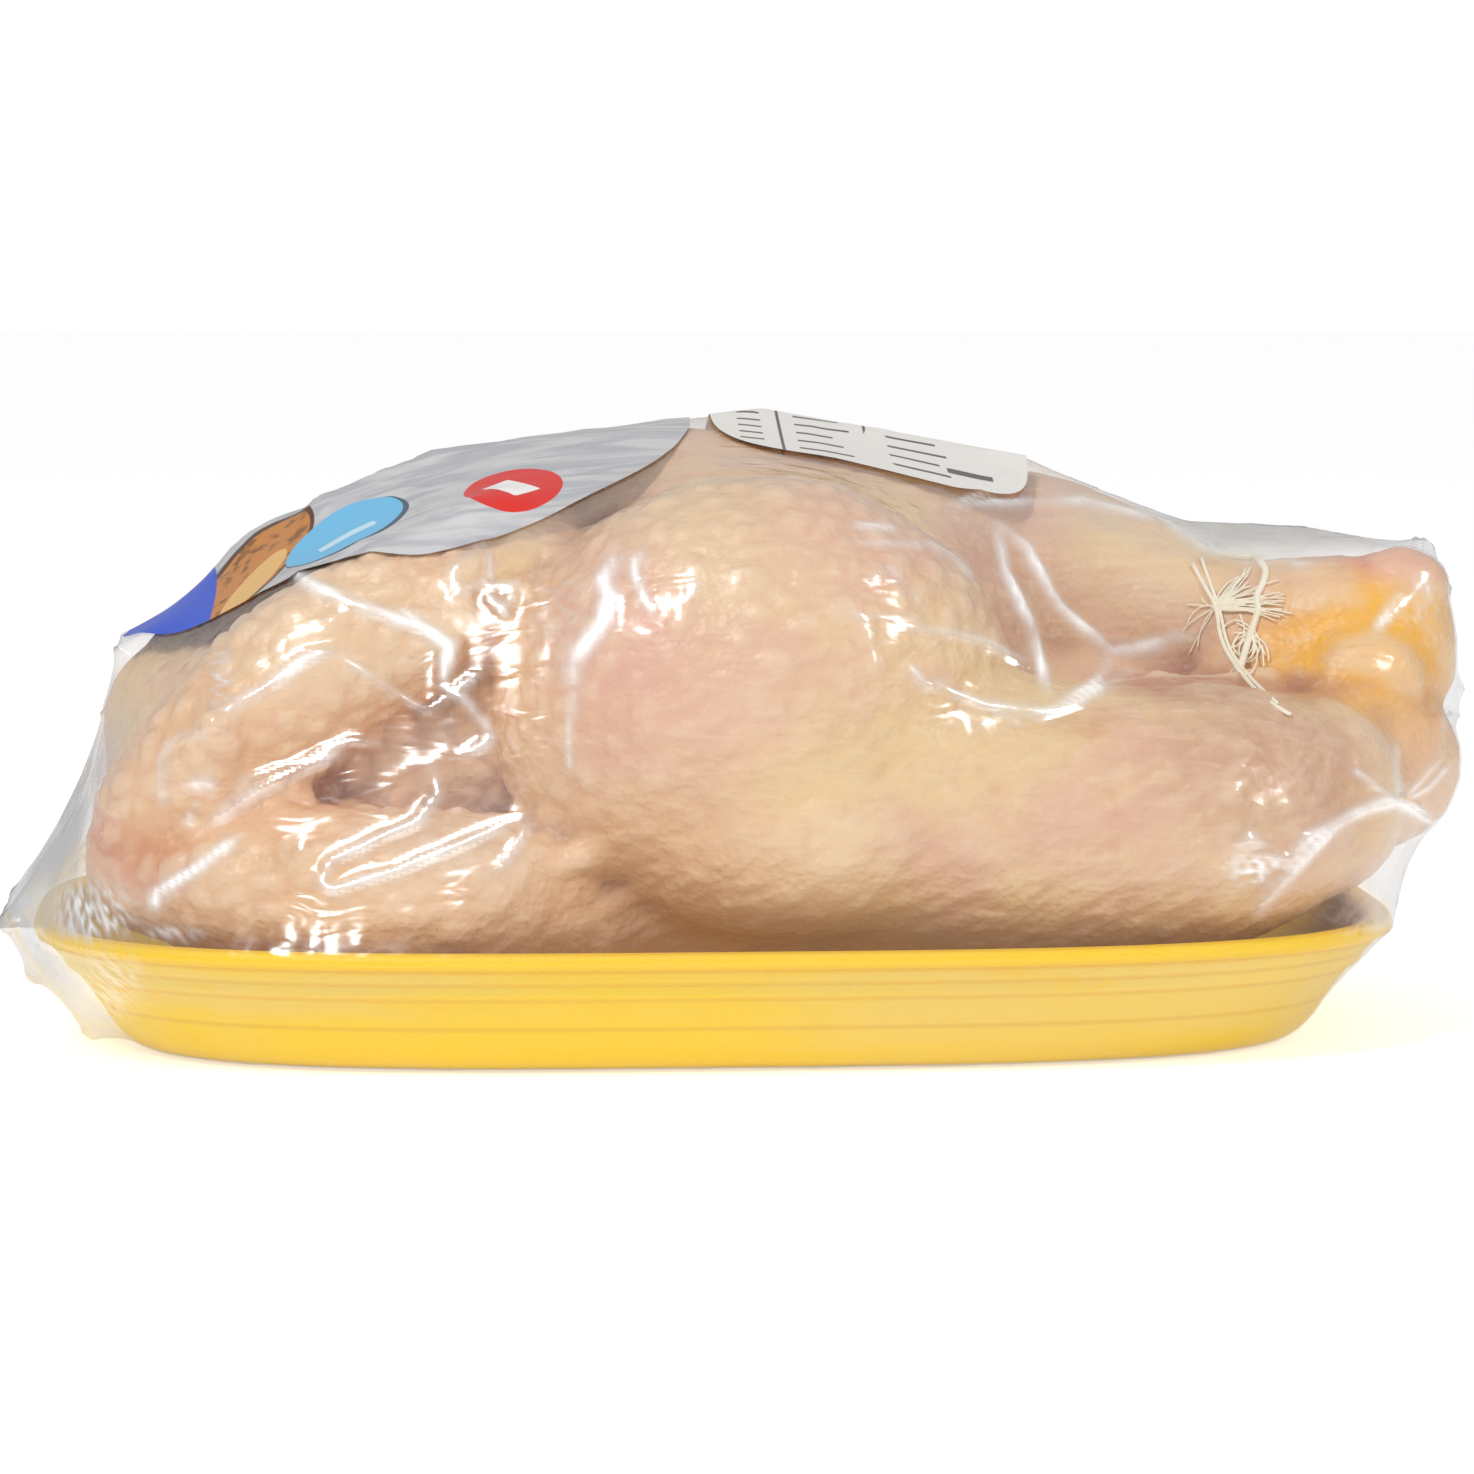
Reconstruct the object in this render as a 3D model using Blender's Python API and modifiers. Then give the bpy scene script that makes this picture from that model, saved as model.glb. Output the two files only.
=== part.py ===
"""Whole raw chicken, breast up, on a yellow foam tray and sealed in clear shrink film.

The length runs along X, from the neck end at -X to the tied hocks at +X. +Z is up, the near side is -Y,
and the origin is the middle of the pack's footprint, on the surface that the tray stands on.
The film and the bird inside it are one solid, because the film is shut and drawn tight over the bird.
"""

from math import cos, pi, sin

import bmesh
import bpy
from mathutils import Matrix, Vector

MM = 0.001

# Tray, outside sizes
TRAY_LENGTH = 294 * MM
TRAY_WIDTH = 186 * MM
TRAY_HEIGHT = 27 * MM
TRAY_FLARE = 19 * MM
TRAY_WALL = 3.6 * MM
TRAY_MIDDLE_X = -6 * MM
TRAY_SQUARENESS = 3.3
TRAY_SEGMENTS = 64

# Bird
BREAST_TOP = 131 * MM
SKIN_RELIEF = 1.5 * MM
SKIN_PATCH = 14 * MM

# Film: FILM_BRIDGE is half the widest hollow that it spans, CLEARANCE its gap to the tray
FILM_BRIDGE = 5 * MM
CLEARANCE = 0.35 * MM

# Labels, as outlines seen from above: (middle x, middle y), (half length, half width), squareness
PRINTED_LABEL = ((-72 * MM, 0), (62 * MM, 56 * MM), 1.8)
WEIGHT_LABEL = ((29 * MM, 12 * MM), (35 * MM, 26 * MM), 4.0)
LABEL_LIFT = 2.2 * MM
LABEL_THICKNESS = 0.5 * MM
LABEL_RINGS = 11
LABEL_SEGMENTS = 40

# Working mesh of the bird: the size of its cells, how often it is smoothed, the share of its faces kept
VOXEL = 2.0 * MM
SMOOTHING = 3
KEPT_FACES = 0.07

SKIN_COLOUR = (0.72, 0.50, 0.34, 1.0)
FOAM_COLOUR = (0.86, 0.58, 0.06, 1.0)
PRINT_COLOUR = (0.50, 0.52, 0.56, 1.0)
PAPER_COLOUR = (0.75, 0.74, 0.71, 1.0)


def clear_scene():
    for obj in list(bpy.data.objects):
        bpy.data.objects.remove(obj, do_unlink=True)


def collection(name, hidden=False):
    made = bpy.data.collections.new(name)
    made.hide_render = hidden
    bpy.context.scene.collection.children.link(made)
    return made


def material(name, colour, roughness):
    made = bpy.data.materials.new(name)
    made.use_nodes = True
    shader = made.node_tree.nodes["Principled BSDF"]
    shader.inputs["Base Color"].default_value = colour
    shader.inputs["Roughness"].default_value = roughness
    shader.inputs["Metallic"].default_value = 0.0
    return made


def mesh_object(name, bm, where):
    bmesh.ops.recalc_face_normals(bm, faces=bm.faces)
    mesh = bpy.data.meshes.new(name)
    bm.to_mesh(mesh)
    bm.free()
    obj = bpy.data.objects.new(name, mesh)
    where.objects.link(obj)
    return obj


def as_guide(obj):
    obj.hide_render = True
    obj.display_type = "WIRE"
    return obj


# Rings: every rounded outline here is a superellipse, and neighbouring rings are joined by a band of faces

def superellipse(middle, half_sizes, squareness, segments, z):
    """A level ring of points on |x/a|^n + |y/b|^n = 1, where n is the squareness: 2 makes an ellipse."""
    power = 2 / squareness
    ring = []
    for k in range(segments):
        c = cos(2 * pi * k / segments)
        s = sin(2 * pi * k / segments)
        x = half_sizes[0] * abs(c) ** power * (1 if c >= 0 else -1)
        y = half_sizes[1] * abs(s) ** power * (1 if s >= 0 else -1)
        ring.append(Vector((middle[0] + x, middle[1] + y, z)))
    return ring


def join_rings(bm, rings):
    for low, high in zip(rings, rings[1:]):
        for k in range(len(low)):
            n = (k + 1) % len(low)
            bm.faces.new((low[k], low[n], high[n], high[k]))


# Tray: a dish lofted through rings, each one an inset from the rim's outline and a height

def lofted_dish(name, stations, where):
    """A closed shape through the stations, with a flat cap on the first and the last ring.

    A station is (inset from the ends of the rim, inset from its sides, z).
    """
    bm = bmesh.new()
    rings = []
    for end_inset, side_inset, z in stations:
        half_sizes = (TRAY_LENGTH / 2 - end_inset, TRAY_WIDTH / 2 - side_inset)
        points = superellipse((TRAY_MIDDLE_X, 0), half_sizes, TRAY_SQUARENESS, TRAY_SEGMENTS, z)
        rings.append([bm.verts.new(p) for p in points])
    join_rings(bm, rings)
    bm.faces.new(rings[0])
    bm.faces.new(rings[-1])
    return mesh_object(name, bm, where)


def even(stations):
    """Stations whose inset is the same at the ends and the sides."""
    return [(inset, inset, z) for inset, z in stations]


def tray_outside():
    """Stations of the tray's outer face, base to rim: a rounded base, a sloping wall, a step and a lip."""
    step = TRAY_HEIGHT - 10 * MM
    lip = TRAY_HEIGHT - 3 * MM
    return [
        (TRAY_FLARE + 5 * MM, 0),
        (TRAY_FLARE + 1 * MM, 1.2 * MM),
        (TRAY_FLARE - 2.5 * MM, 4.5 * MM),
        (8 * MM, step),
        (5.5 * MM, step + 1 * MM),
        (3.2 * MM, lip - 0.6 * MM),
        (0.6 * MM, lip),
        (0, lip + 1 * MM),
        (0.5 * MM, TRAY_HEIGHT - 0.4 * MM),
        (1.5 * MM, TRAY_HEIGHT),
    ]


def tray_inside(gap=0):
    """Stations of the tray's inner face, rim to floor. gap draws the face in, for what lies in the tray."""
    step = TRAY_HEIGHT - 10 * MM
    return [
        (5.5 * MM + gap, TRAY_HEIGHT + gap),
        (7.5 * MM + gap, TRAY_HEIGHT - 2 * MM + gap),
        (8 * MM + TRAY_WALL + gap, step + gap),
        (TRAY_FLARE + TRAY_WALL + gap, 6.5 * MM + gap),
        (TRAY_FLARE + 9 * MM + gap, TRAY_WALL + gap),
    ]


def make_tray(where):
    tray = lofted_dish("tray", even(tray_outside() + tray_inside()), where)
    tray.data.materials.append(material("foam", FOAM_COLOUR, 0.55))
    return tray


def make_mould(where):
    """The cutter that keeps the wrapped bird clear of the tray: a block with the tray's hollow in its top."""
    reach = -60 * MM
    depth = -40 * MM
    rim = TRAY_HEIGHT + CLEARANCE
    stations = [(reach, depth), (reach, rim), *tray_inside(CLEARANCE)]
    return as_guide(lofted_dish("mould", even(stations), where))


# Bird: balls and tapered limbs, given in millimetres, that are later fused into one body

def ball(name, centre, radii, where):
    bm = bmesh.new()
    bmesh.ops.create_uvsphere(bm, u_segments=32, v_segments=20, radius=1)
    scale = Matrix.Diagonal(Vector(radii)).to_4x4()
    shift = Matrix.Translation(Vector(centre))
    bmesh.ops.transform(bm, matrix=Matrix.Scale(MM, 4) @ shift @ scale, verts=bm.verts)
    return mesh_object(name, bm, where)


def limb(name, stations, where):
    """A tube of changing radius through stations (x, y, z, radius), with a ball on each end."""
    curve = bpy.data.curves.new(name, "CURVE")
    curve.dimensions = "3D"
    curve.bevel_depth = MM
    curve.bevel_resolution = 6
    curve.use_fill_caps = True
    curve.resolution_u = 6
    spline = curve.splines.new("NURBS")
    spline.points.add(len(stations) - 1)
    for point, (x, y, z, radius) in zip(spline.points, stations):
        point.co = (x * MM, y * MM, z * MM, 1)
        point.radius = radius
    spline.order_u = 3
    spline.use_endpoint_u = True
    tube = bpy.data.objects.new(name, curve)
    where.objects.link(tube)
    bpy.context.view_layer.update()
    graph = bpy.context.evaluated_depsgraph_get()
    mesh = bpy.data.meshes.new_from_object(tube.evaluated_get(graph))
    bpy.data.objects.remove(tube)
    bm = bmesh.new()
    bm.from_mesh(mesh)
    bmesh.ops.remove_doubles(bm, verts=bm.verts, dist=0.00001)
    made = [mesh_object(name, bm, where)]
    for end, (x, y, z, radius) in (("start", stations[0]), ("end", stations[-1])):
        made.append(ball(f"{name}_{end}", (x, y, z), (radius,) * 3, where))
    return made


def mirrored(stations):
    return [(x, -y, z, radius) for x, y, z, radius in stations]


def hull(name, points, where):
    """The smallest convex body round these points, in millimetres, as film stretched between them makes."""
    bm = bmesh.new()
    for point in points:
        bm.verts.new(Vector(point) * MM)
    made = bmesh.ops.convex_hull(bm, input=bm.verts)
    inner = {v for v in made["geom_interior"] if isinstance(v, bmesh.types.BMVert)}
    bmesh.ops.delete(bm, geom=list(inner), context="VERTS")
    return mesh_object(name, bm, where)


def torso(where):
    top = BREAST_TOP / MM
    return [
        ball("breast", (-18, 0, top - 60), (92, 55, 59), where),
        ball("keel", (-2, 0, top - 30), (66, 30, 28), where),
        ball("front", (-78, 0, 56), (60, 50, 51), where),
        ball("neck", (-86, 0, 70), (38, 34, 44), where),
        ball("belly", (58, 0, 46), (72, 48, 40), where),
        ball("back", (-10, 0, 34), (118, 54, 30), where),
        ball("tail", (116, 4, 42), (26, 24, 20), where),
    ]


def legs(where):
    """The near leg lies low along the tray; the far one crosses over it, and its hock lies on top."""
    near = [(30, -50, 54, 34), (52, -53, 49, 31), (80, -54, 49, 29), (104, -50, 51, 28), (118, -44, 53, 22)]
    near_hock = [(112, -38, 55, 17), (130, -28, 57, 19), (138, -20, 58, 18)]
    far = [(14, 40, 80, 36), (38, 30, 88, 31), (60, 14, 95, 27), (84, 2, 92, 22), (104, -7, 89, 14)]
    far_hock = [(102, -7, 89, 13), (116, -11, 88, 14), (128, -15, 86, 18), (139, -16, 85, 17)]
    haunch = [(8, 44, 58, 38), (52, 46, 40, 33), (84, 34, 38, 26)]
    made = []
    for name, stations in (
        ("near_leg", near),
        ("near_hock", near_hock),
        ("far_leg", far),
        ("far_hock", far_hock),
        ("far_haunch", haunch),
    ):
        made += limb(name, stations, where)
    for name, side in (("near", -1), ("far", 1)):
        made.append(ball(f"{name}_thigh", (0, 49 * side, 74), (55, 38, 48), where))
        made.append(ball(f"{name}_under_thigh", (12, 54 * side, 51), (46, 33, 27), where))
    return made


def wings(where):
    """Each wing is folded like a '<': the upper arm slopes down to the elbow, the rest lies on the tray."""
    upper = [(-50, -38, 104, 15), (-80, -48, 91, 17), (-106, -51, 71, 18), (-124, -44, 50, 15)]
    lower = [(-125, -44, 41, 15), (-100, -60, 37, 18), (-66, -65, 36, 18), (-38, -53, 33, 15)]
    lower += [(-8, -44, 28, 11)]
    made = []
    for side, turn in (("near", list), ("far", mirrored)):
        made += limb(f"{side}_upper_wing", turn(upper), where)
        made += limb(f"{side}_lower_wing", turn(lower), where)
    return made


def both_sides(points):
    return [(x, side * y, z) for x, y, z in points for side in (-1, 1)]


def film_spans(where):
    """Where the film stands clear of the bird, as it is stretched from one high place to the next."""
    rim = TRAY_HEIGHT / MM
    side = both_sides([(-100, 82, rim + 3), (-60, 90, rim + 2), (0, 92, rim + 2), (60, 89, rim + 2)])
    side += both_sides([(-100, 73, 60), (-60, 79, 60), (-15, 86, 60), (30, 84, 60)])
    near_side = [(60, -89, rim + 2), (100, -80, rim + 2), (120, -68, rim + 2), (30, -84, 60), (75, -81, 62)]
    near_side += [(105, -77, 62), (120, -68, 60), (30, -20, rim), (110, -20, rim)]
    beside_wings = both_sides([(-120, 66, 60), (-120, 64, 72), (-105, 68, 79), (-105, 61, 90), (-60, 67, 91)])
    beside_wings += both_sides([(-122, 75, rim + 3), (-104, 83, rim + 3), (-60, 78, 61)])
    beside_wings += both_sides([(-15, 86, 62), (-15, 86, 80), (-15, 83, 91)])
    left_end = both_sides([(-161, 28, rim + 1), (-152, 38, rim), (-137, 20, 71), (-134, 19, 84)])
    left_end += both_sides([(-134, 50, 60)])
    left_end += both_sides([(-134, 59, 40), (-134, 63, rim), (-118, 64, 60), (-110, 50, rim)])
    shoulders = both_sides([(-134, 19, 84), (-120, 48, 82), (-105, 48, 95), (-90, 50, 104), (-60, 50, 115)])
    shoulders += both_sides([(-30, 50, 118), (0, 50, 121), (20, 46, 119), (-105, 3, 108), (-90, 6, 115.5)])
    shoulders += both_sides([(-60, 4, 125.5), (-30, 3, 129.5), (-90, 60, 98), (-60, 62, 101), (-30, 74, 101)])
    right_end = both_sides([(138, 30, rim), (148, 12, 42)]) + [(157.5, y, 73) for y in (-14, 6)]
    right_end += [(155, -10, 98), (152, -12, 105), (150, 4, 105), (136, 10, 100), (136, -40, 79)]
    right_end += [(136, -28, 99), (130, -60, 55), (130, -50, rim)]
    right_end += [(110, 0, rim), (120, 30, 60)]
    ridge = [(10, -14, 131), (-8, 10, 133.5), (62, 4, 123), (71, 2, 119), (98, 10, 108), (127, 10, 106.5)]
    ridge += [(150, -4, 102), (60, 38, 112), (75, 30, 110), (90, 20, 106), (96, -6, 98), (64, -15, 114)]
    ridge += [(110, 20, 80), (30, 45, 116), (30, -20, 121)]
    beside_leg = [(90, -28, 99), (90, -60, 79), (90, -73, 70), (90, -8, 109)]
    thigh_to_leg = [(28, -66, 108), (28, -75, 99), (28, -84, 66), (28, -40, 116), (28, -10, 124)]
    thigh_to_leg += [(60, -76, 70), (60, -66, 77), (60, -10, 119)] + beside_leg
    leg_to_hock = [(118, -48, 79), (118, -61, 70), (118, -25, 99), (118, -8, 104)] + beside_leg
    leg_to_hock += [(136, -40, 79), (136, -27, 99), (136, -47, 70), (136, -8, 103)]
    far_side = [(45, 91, rim + 3), (45, 79, 60), (45, 68, 88), (45, 50, 110), (60, 40, 107)]
    far_side += [(90, 81, rim + 3), (90, 50, 58), (90, 23, 97), (90, 13, 108), (118, 66, rim + 3)]
    far_side += [(118, 28, 58), (118, 10, 99), (40, 20, rim), (118, 0, rim)]
    far_side += [(132, 46, rim + 3), (132, 20, 55)]
    return [
        hull("side_spans", side, where),
        hull("near_side_span", near_side, where),
        hull("spans_beside_wings", beside_wings, where),
        hull("left_end_span", left_end, where),
        hull("shoulder_span", shoulders, where),
        hull("right_end_span", right_end, where),
        hull("ridge_span", ridge, where),
        hull("thigh_to_leg_span", thigh_to_leg, where),
        hull("leg_to_hock_span", leg_to_hock, where),
        hull("far_side_span", far_side, where),
    ]


def fuse(name, pieces, where):
    """Joins the overlapping pieces in one mesh object, whose Remesh modifiers make them one skin."""
    bm = bmesh.new()
    for piece in pieces:
        bm.from_mesh(piece.data)
        bpy.data.objects.remove(piece)
    return mesh_object(name, bm, where)


def remesh(obj):
    modifier = obj.modifiers.new("one skin", "REMESH")
    modifier.mode = "VOXEL"
    modifier.voxel_size = VOXEL


def displace(obj, distance, texture=None):
    modifier = obj.modifiers.new("move skin", "DISPLACE")
    modifier.strength = distance
    modifier.mid_level = 0.5 if texture else 0
    if texture:
        modifier.texture = texture
        modifier.texture_coords = "LOCAL"


def smooth(obj):
    modifier = obj.modifiers.new("soften", "SMOOTH")
    modifier.factor = 0.5
    modifier.iterations = SMOOTHING


def plump_patches():
    """A cloud pattern for the skin's unevenness."""
    texture = bpy.data.textures.new("plump patches", "CLOUDS")
    texture.noise_scale = SKIN_PATCH
    texture.noise_depth = 1
    return texture


def make_wrapped_bird(where, mould):
    """The film spans every hollow narrower than twice FILM_BRIDGE: the fused bird swells by that much,
    becomes one skin again and draws back, which leaves the hollows filled as by a stretched sheet."""
    pieces = torso(where) + legs(where) + wings(where) + film_spans(where)
    bird = fuse("chicken_in_film", pieces, where)
    remesh(bird)
    displace(bird, FILM_BRIDGE)
    remesh(bird)
    smooth(bird)
    displace(bird, -FILM_BRIDGE)
    remesh(bird)
    smooth(bird)
    displace(bird, SKIN_RELIEF, plump_patches())
    fewer = bird.modifiers.new("fewer faces", "DECIMATE")
    fewer.ratio = KEPT_FACES
    cut = bird.modifiers.new("clear of the tray", "BOOLEAN")
    cut.operation = "DIFFERENCE"
    cut.solver = "MANIFOLD"
    cut.object = mould
    bird.data.materials.append(material("skin under film", SKIN_COLOUR, 0.3))
    return bird


# Labels: flat outlines above the bird, let down on it and thickened

def make_label(name, outline, colour, bird, where):
    """A sheet of rings round its middle, dropped on the wrapped bird along -Z and given its thickness."""
    middle, (half_length, half_width), squareness = outline
    above = BREAST_TOP + 30 * MM
    bm = bmesh.new()
    rings = []
    for ring in range(1, LABEL_RINGS + 1):
        share = ring / LABEL_RINGS
        half_sizes = (share * half_length, share * half_width)
        points = superellipse(middle, half_sizes, squareness, LABEL_SEGMENTS, above)
        rings.append([bm.verts.new(p) for p in points])
    join_rings(bm, rings)
    bm.faces.new(rings[0])
    bmesh.ops.poke(bm, faces=[f for f in bm.faces if len(f.verts) > 4])
    label = mesh_object(name, bm, where)
    drop = label.modifiers.new("laid on the film", "SHRINKWRAP")
    drop.target = bird
    drop.wrap_method = "PROJECT"
    drop.use_project_z = True
    drop.use_negative_direction = True
    drop.use_positive_direction = False
    drop.offset = LABEL_LIFT
    thicken = label.modifiers.new("paper", "SOLIDIFY")
    thicken.thickness = LABEL_THICKNESS
    thicken.offset = 1
    label.data.materials.append(material(name, colour, 0.5))
    return label


def stand_at_origin(pieces):
    """Moves the pack, by one empty that carries it, so that the origin is the middle of its footprint."""
    bpy.context.view_layer.update()
    graph = bpy.context.evaluated_depsgraph_get()
    corners = []
    for piece in pieces:
        mesh = piece.evaluated_get(graph).to_mesh()
        corners += [piece.matrix_world @ v.co for v in mesh.vertices]
    low_x, high_x = min(c.x for c in corners), max(c.x for c in corners)
    low_y, high_y = min(c.y for c in corners), max(c.y for c in corners)
    pack = bpy.data.objects.new("pack", None)
    bpy.context.scene.collection.objects.link(pack)
    pack.location = (-(low_x + high_x) / 2, -(low_y + high_y) / 2, 0)
    return pack


def main():
    clear_scene()
    parts = collection("whole raw chicken")
    cutters = collection("cutters", hidden=True)
    tray = make_tray(parts)
    mould = make_mould(cutters)
    bird = make_wrapped_bird(parts, mould)
    printed = make_label("printed_label", PRINTED_LABEL, PRINT_COLOUR, bird, parts)
    weight = make_label("weight_label", WEIGHT_LABEL, PAPER_COLOUR, bird, parts)
    pack = stand_at_origin([tray, bird, printed, weight])
    for piece in (tray, bird, printed, weight, mould):
        piece.parent = pack


main()
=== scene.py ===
"""Looks of a whole raw chicken on a yellow foam tray in clear film: skin, twine, film, tray and labels."""
from math import cos, pi, radians, sin

import bpy
import numpy as np
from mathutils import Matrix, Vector


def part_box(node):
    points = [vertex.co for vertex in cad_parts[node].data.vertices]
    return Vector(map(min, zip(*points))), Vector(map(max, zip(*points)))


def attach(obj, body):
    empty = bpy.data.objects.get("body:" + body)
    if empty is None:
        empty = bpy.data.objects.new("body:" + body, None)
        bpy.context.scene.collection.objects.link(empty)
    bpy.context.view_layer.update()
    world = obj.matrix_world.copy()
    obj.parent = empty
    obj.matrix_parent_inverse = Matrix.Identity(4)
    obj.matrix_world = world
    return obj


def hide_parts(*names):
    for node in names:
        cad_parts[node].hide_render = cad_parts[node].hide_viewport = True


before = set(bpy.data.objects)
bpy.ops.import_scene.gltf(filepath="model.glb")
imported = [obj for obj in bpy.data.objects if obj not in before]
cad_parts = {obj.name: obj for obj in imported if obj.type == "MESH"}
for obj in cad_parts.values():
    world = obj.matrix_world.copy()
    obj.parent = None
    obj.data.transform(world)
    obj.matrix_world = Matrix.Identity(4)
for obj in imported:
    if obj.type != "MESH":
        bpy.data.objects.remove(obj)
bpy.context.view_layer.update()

MM = 0.001
SEED = 7

# The photograph's frame and the camera that took it
PHOTO_PIXELS = 1474
CAMERA_DISTANCE = 1.25
CAMERA_ELEVATION = radians(5.5)
CAMERA_AZIMUTH = radians(-4)
CAMERA_AIM_HEIGHT = 62.5 * MM
FRAME_WIDTH = 323.2 * MM
SENSOR = 36.0

# Driving sizes: the tray is read from the frame, and the bird is set out from the tray's middle, in mm
tray_low, tray_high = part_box("tray")
TRAY_MIDDLE_X = (tray_low.x + tray_high.x) / 2
TRAY_LENGTH = tray_high.x - tray_low.x
TRAY_WIDTH = tray_high.y - tray_low.y
TRAY_HEIGHT = tray_high.z
TRAY_FLARE = 19 * MM
TRAY_WALL = 3.6 * MM
TRAY_SQUARENESS = 3.3
TRAY_LINES = (9.8 * MM, 16.6 * MM, 20.2 * MM, 23.2 * MM)
SHIFT = np.array((TRAY_MIDDLE_X + 6 * MM, 0, 0))
BREAST_TOP = 131
SKIN_CELL = 1.45 * MM
SKIN_BRIDGE = 2.2 * MM
SKIN_SMOOTHINGS = 4
HOLLOW_ROUNDS = 30
FAT_CELL = 6.5 * MM

# The twine's knot in pixels of the photograph, and the ring of twine round the far leg in mm
KNOT = (1217, 607)
RING_MIDDLE = (106, -8, 88)
RING_RADIUS = 24

# Film: its rays leave a straight axis inside the bird, and fan out round the axis's two ends
FILM_ROWS = 304
FILM_COLUMNS = 320
FILM_AXIS_HALF = 110 * MM
FILM_AXIS_HEIGHT = 56 * MM
FILM_END_SCALE = 66 * MM
FILM_CROWDING = 0.6
FILM_GAP = 0.35 * MM
FILM_CAGE = 140 * MM
FILM_GRIDS = ((16, 200), (8, 200), (4, 200), (2, 300), (1, 300))
FILM_REFRESH = 20
FILM_CAP_ROWS = 14

# How much of the light the film stops: seen straight, at its edges, and where it is loose or milky
FILM_CLEAR = 0.045
FILM_GRAZING = 0.5
FILM_LOOSE = 0.03
FILM_MILK = (0.38, 0.72)
# Glow of the white folds of the film: painted light, the film being no lamp.
FOLD_GLOW = 0.36

LABEL_RINGS = 96
LABEL_COLUMNS = 480
LABEL_START = 170 * MM
PRINT_EDGE = 0.12

# Light: how bright the white surround is as a light and as a backdrop, how much the floor adds to what it
# reflects and which share of that lights the object, then each lamp's place, size and power
SURROUND = 0.49
BACKDROP = 1.05
FLOOR_GLOW = 0.52
FLOOR_SHARE = 0.28
LIGHT_AIM = (0, 0, 0.06)
KEY_LIGHT = ((-0.55, -0.9, 1.05), (0.15, 0.4), 8)
SIDE_LIGHT = ((0.9, -0.8, 0.75), (0.12, 0.4), 3)


# Camera

def camera_axes():
    """Camera place and its right, up and forward directions: the aim point plus distance times the unit
    vector of the azimuth and elevation, and the cross products of that vector with straight up."""
    a, e = CAMERA_AZIMUTH, CAMERA_ELEVATION
    back = np.array((sin(a) * cos(e), -cos(a) * cos(e), sin(e)))
    aim = np.array((SHIFT[0], 0, CAMERA_AIM_HEIGHT))
    right = np.cross(-back, (0, 0, 1))
    right /= np.linalg.norm(right)
    return aim + CAMERA_DISTANCE * back, right, np.cross(right, -back), -back


def to_photo(points):
    """Photograph pixels of points: offset along right and up over depth, times the focal length in pixels."""
    place, right, up, forward = camera_axes()
    offset = points - place
    focal = PHOTO_PIXELS * CAMERA_DISTANCE / FRAME_WIDTH
    depth = offset @ forward
    return np.stack((PHOTO_PIXELS / 2 + focal * (offset @ right) / depth,
                     PHOTO_PIXELS / 2 - focal * (offset @ up) / depth), -1)


def make_camera():
    """The lens is the sensor's width times the distance over the width that the frame spans there."""
    place, _, _, forward = camera_axes()
    data = bpy.data.cameras.new("camera")
    data.sensor_width = SENSOR
    data.lens = SENSOR * CAMERA_DISTANCE / FRAME_WIDTH
    data.clip_start = 0.05
    data.clip_end = 50
    camera = bpy.data.objects.new("camera", data)
    camera.location = place
    camera.rotation_mode = "QUATERNION"
    camera.rotation_quaternion = Vector(forward).to_track_quat("-Z", "Y")
    bpy.context.scene.collection.objects.link(camera)
    bpy.context.scene.camera = camera


# Repeatable patterns in space, worked out for whole arrays of points

def lattice_value(cell, seed):
    """A number in 0..1 for each whole-number cell: its three indices, multiplied by large odd numbers and
    added up, with their bits shifted and multiplied again."""
    c = cell.astype(np.int64).astype(np.uint32)
    h = c[..., 0] * np.uint32(374761393) + c[..., 1] * np.uint32(668265263)
    h = h + c[..., 2] * np.uint32(1274126177)
    h = h + np.uint32((seed * 362437) % 2 ** 32)
    h = (h ^ (h >> np.uint32(13))) * np.uint32(1274126177)
    h = (h ^ (h >> np.uint32(16))) * np.uint32(2246822519)
    return (h ^ (h >> np.uint32(15))).astype(np.float64) / 2 ** 32


def clouds(points, size, seed=0, octaves=2):
    """Smooth noise in -1..1: the eight corner values of each cell of the given size, blended by the smooth
    step of the place in the cell, plus half as much at half the size for each further octave."""
    total = np.zeros(len(points))
    weight = 1.0
    for octave in range(octaves):
        q = points / (size / 2 ** octave) + 17.3 * (octave + 1)
        base = np.floor(q)
        f = q - base
        f = f * f * (3 - 2 * f)
        value = np.zeros(len(points))
        for corner in range(8):
            step = np.array((corner & 1, corner >> 1 & 1, corner >> 2 & 1))
            share = np.prod(np.where(step, f, 1 - f), -1)
            value += share * lattice_value(base + step, SEED + seed + 31 * octave)
        total += weight * (2 * value - 1)
        weight *= 0.5
    return total / (2 - 2 * weight)


def cells(points, size, seed=0):
    """Distances, in cell sizes, to the nearest and the second nearest of points strewn one to a cell."""
    q = points / size
    base = np.floor(q)
    near = np.full(len(points), 9.0)
    second = np.full(len(points), 9.0)
    for k in range(27):
        cell = base + (k % 3 - 1, k // 3 % 3 - 1, k // 9 - 1)
        jitter = np.stack([lattice_value(cell, SEED + seed + 100 * axis) for axis in range(3)], -1)
        d = np.linalg.norm(q - cell - jitter, axis=-1)
        second = np.minimum(second, np.maximum(near, d))
        near = np.minimum(near, d)
    return near, second


def blob(points, centre, radii, soft=0.35):
    """1 inside an ellipsoid given in mm and 0 outside: a smooth step of its scaled distance round 1."""
    d = np.linalg.norm((points / MM - SHIFT / MM - centre) / radii, axis=-1)
    t = np.clip((1 + soft - d) / (2 * soft), 0, 1)
    return t * t * (3 - 2 * t)


def near_half(points):
    """The points with the far half folded over onto the near one."""
    return np.column_stack((points[:, 0], -np.abs(points[:, 1]), points[:, 2]))


# Meshes from grids

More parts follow.
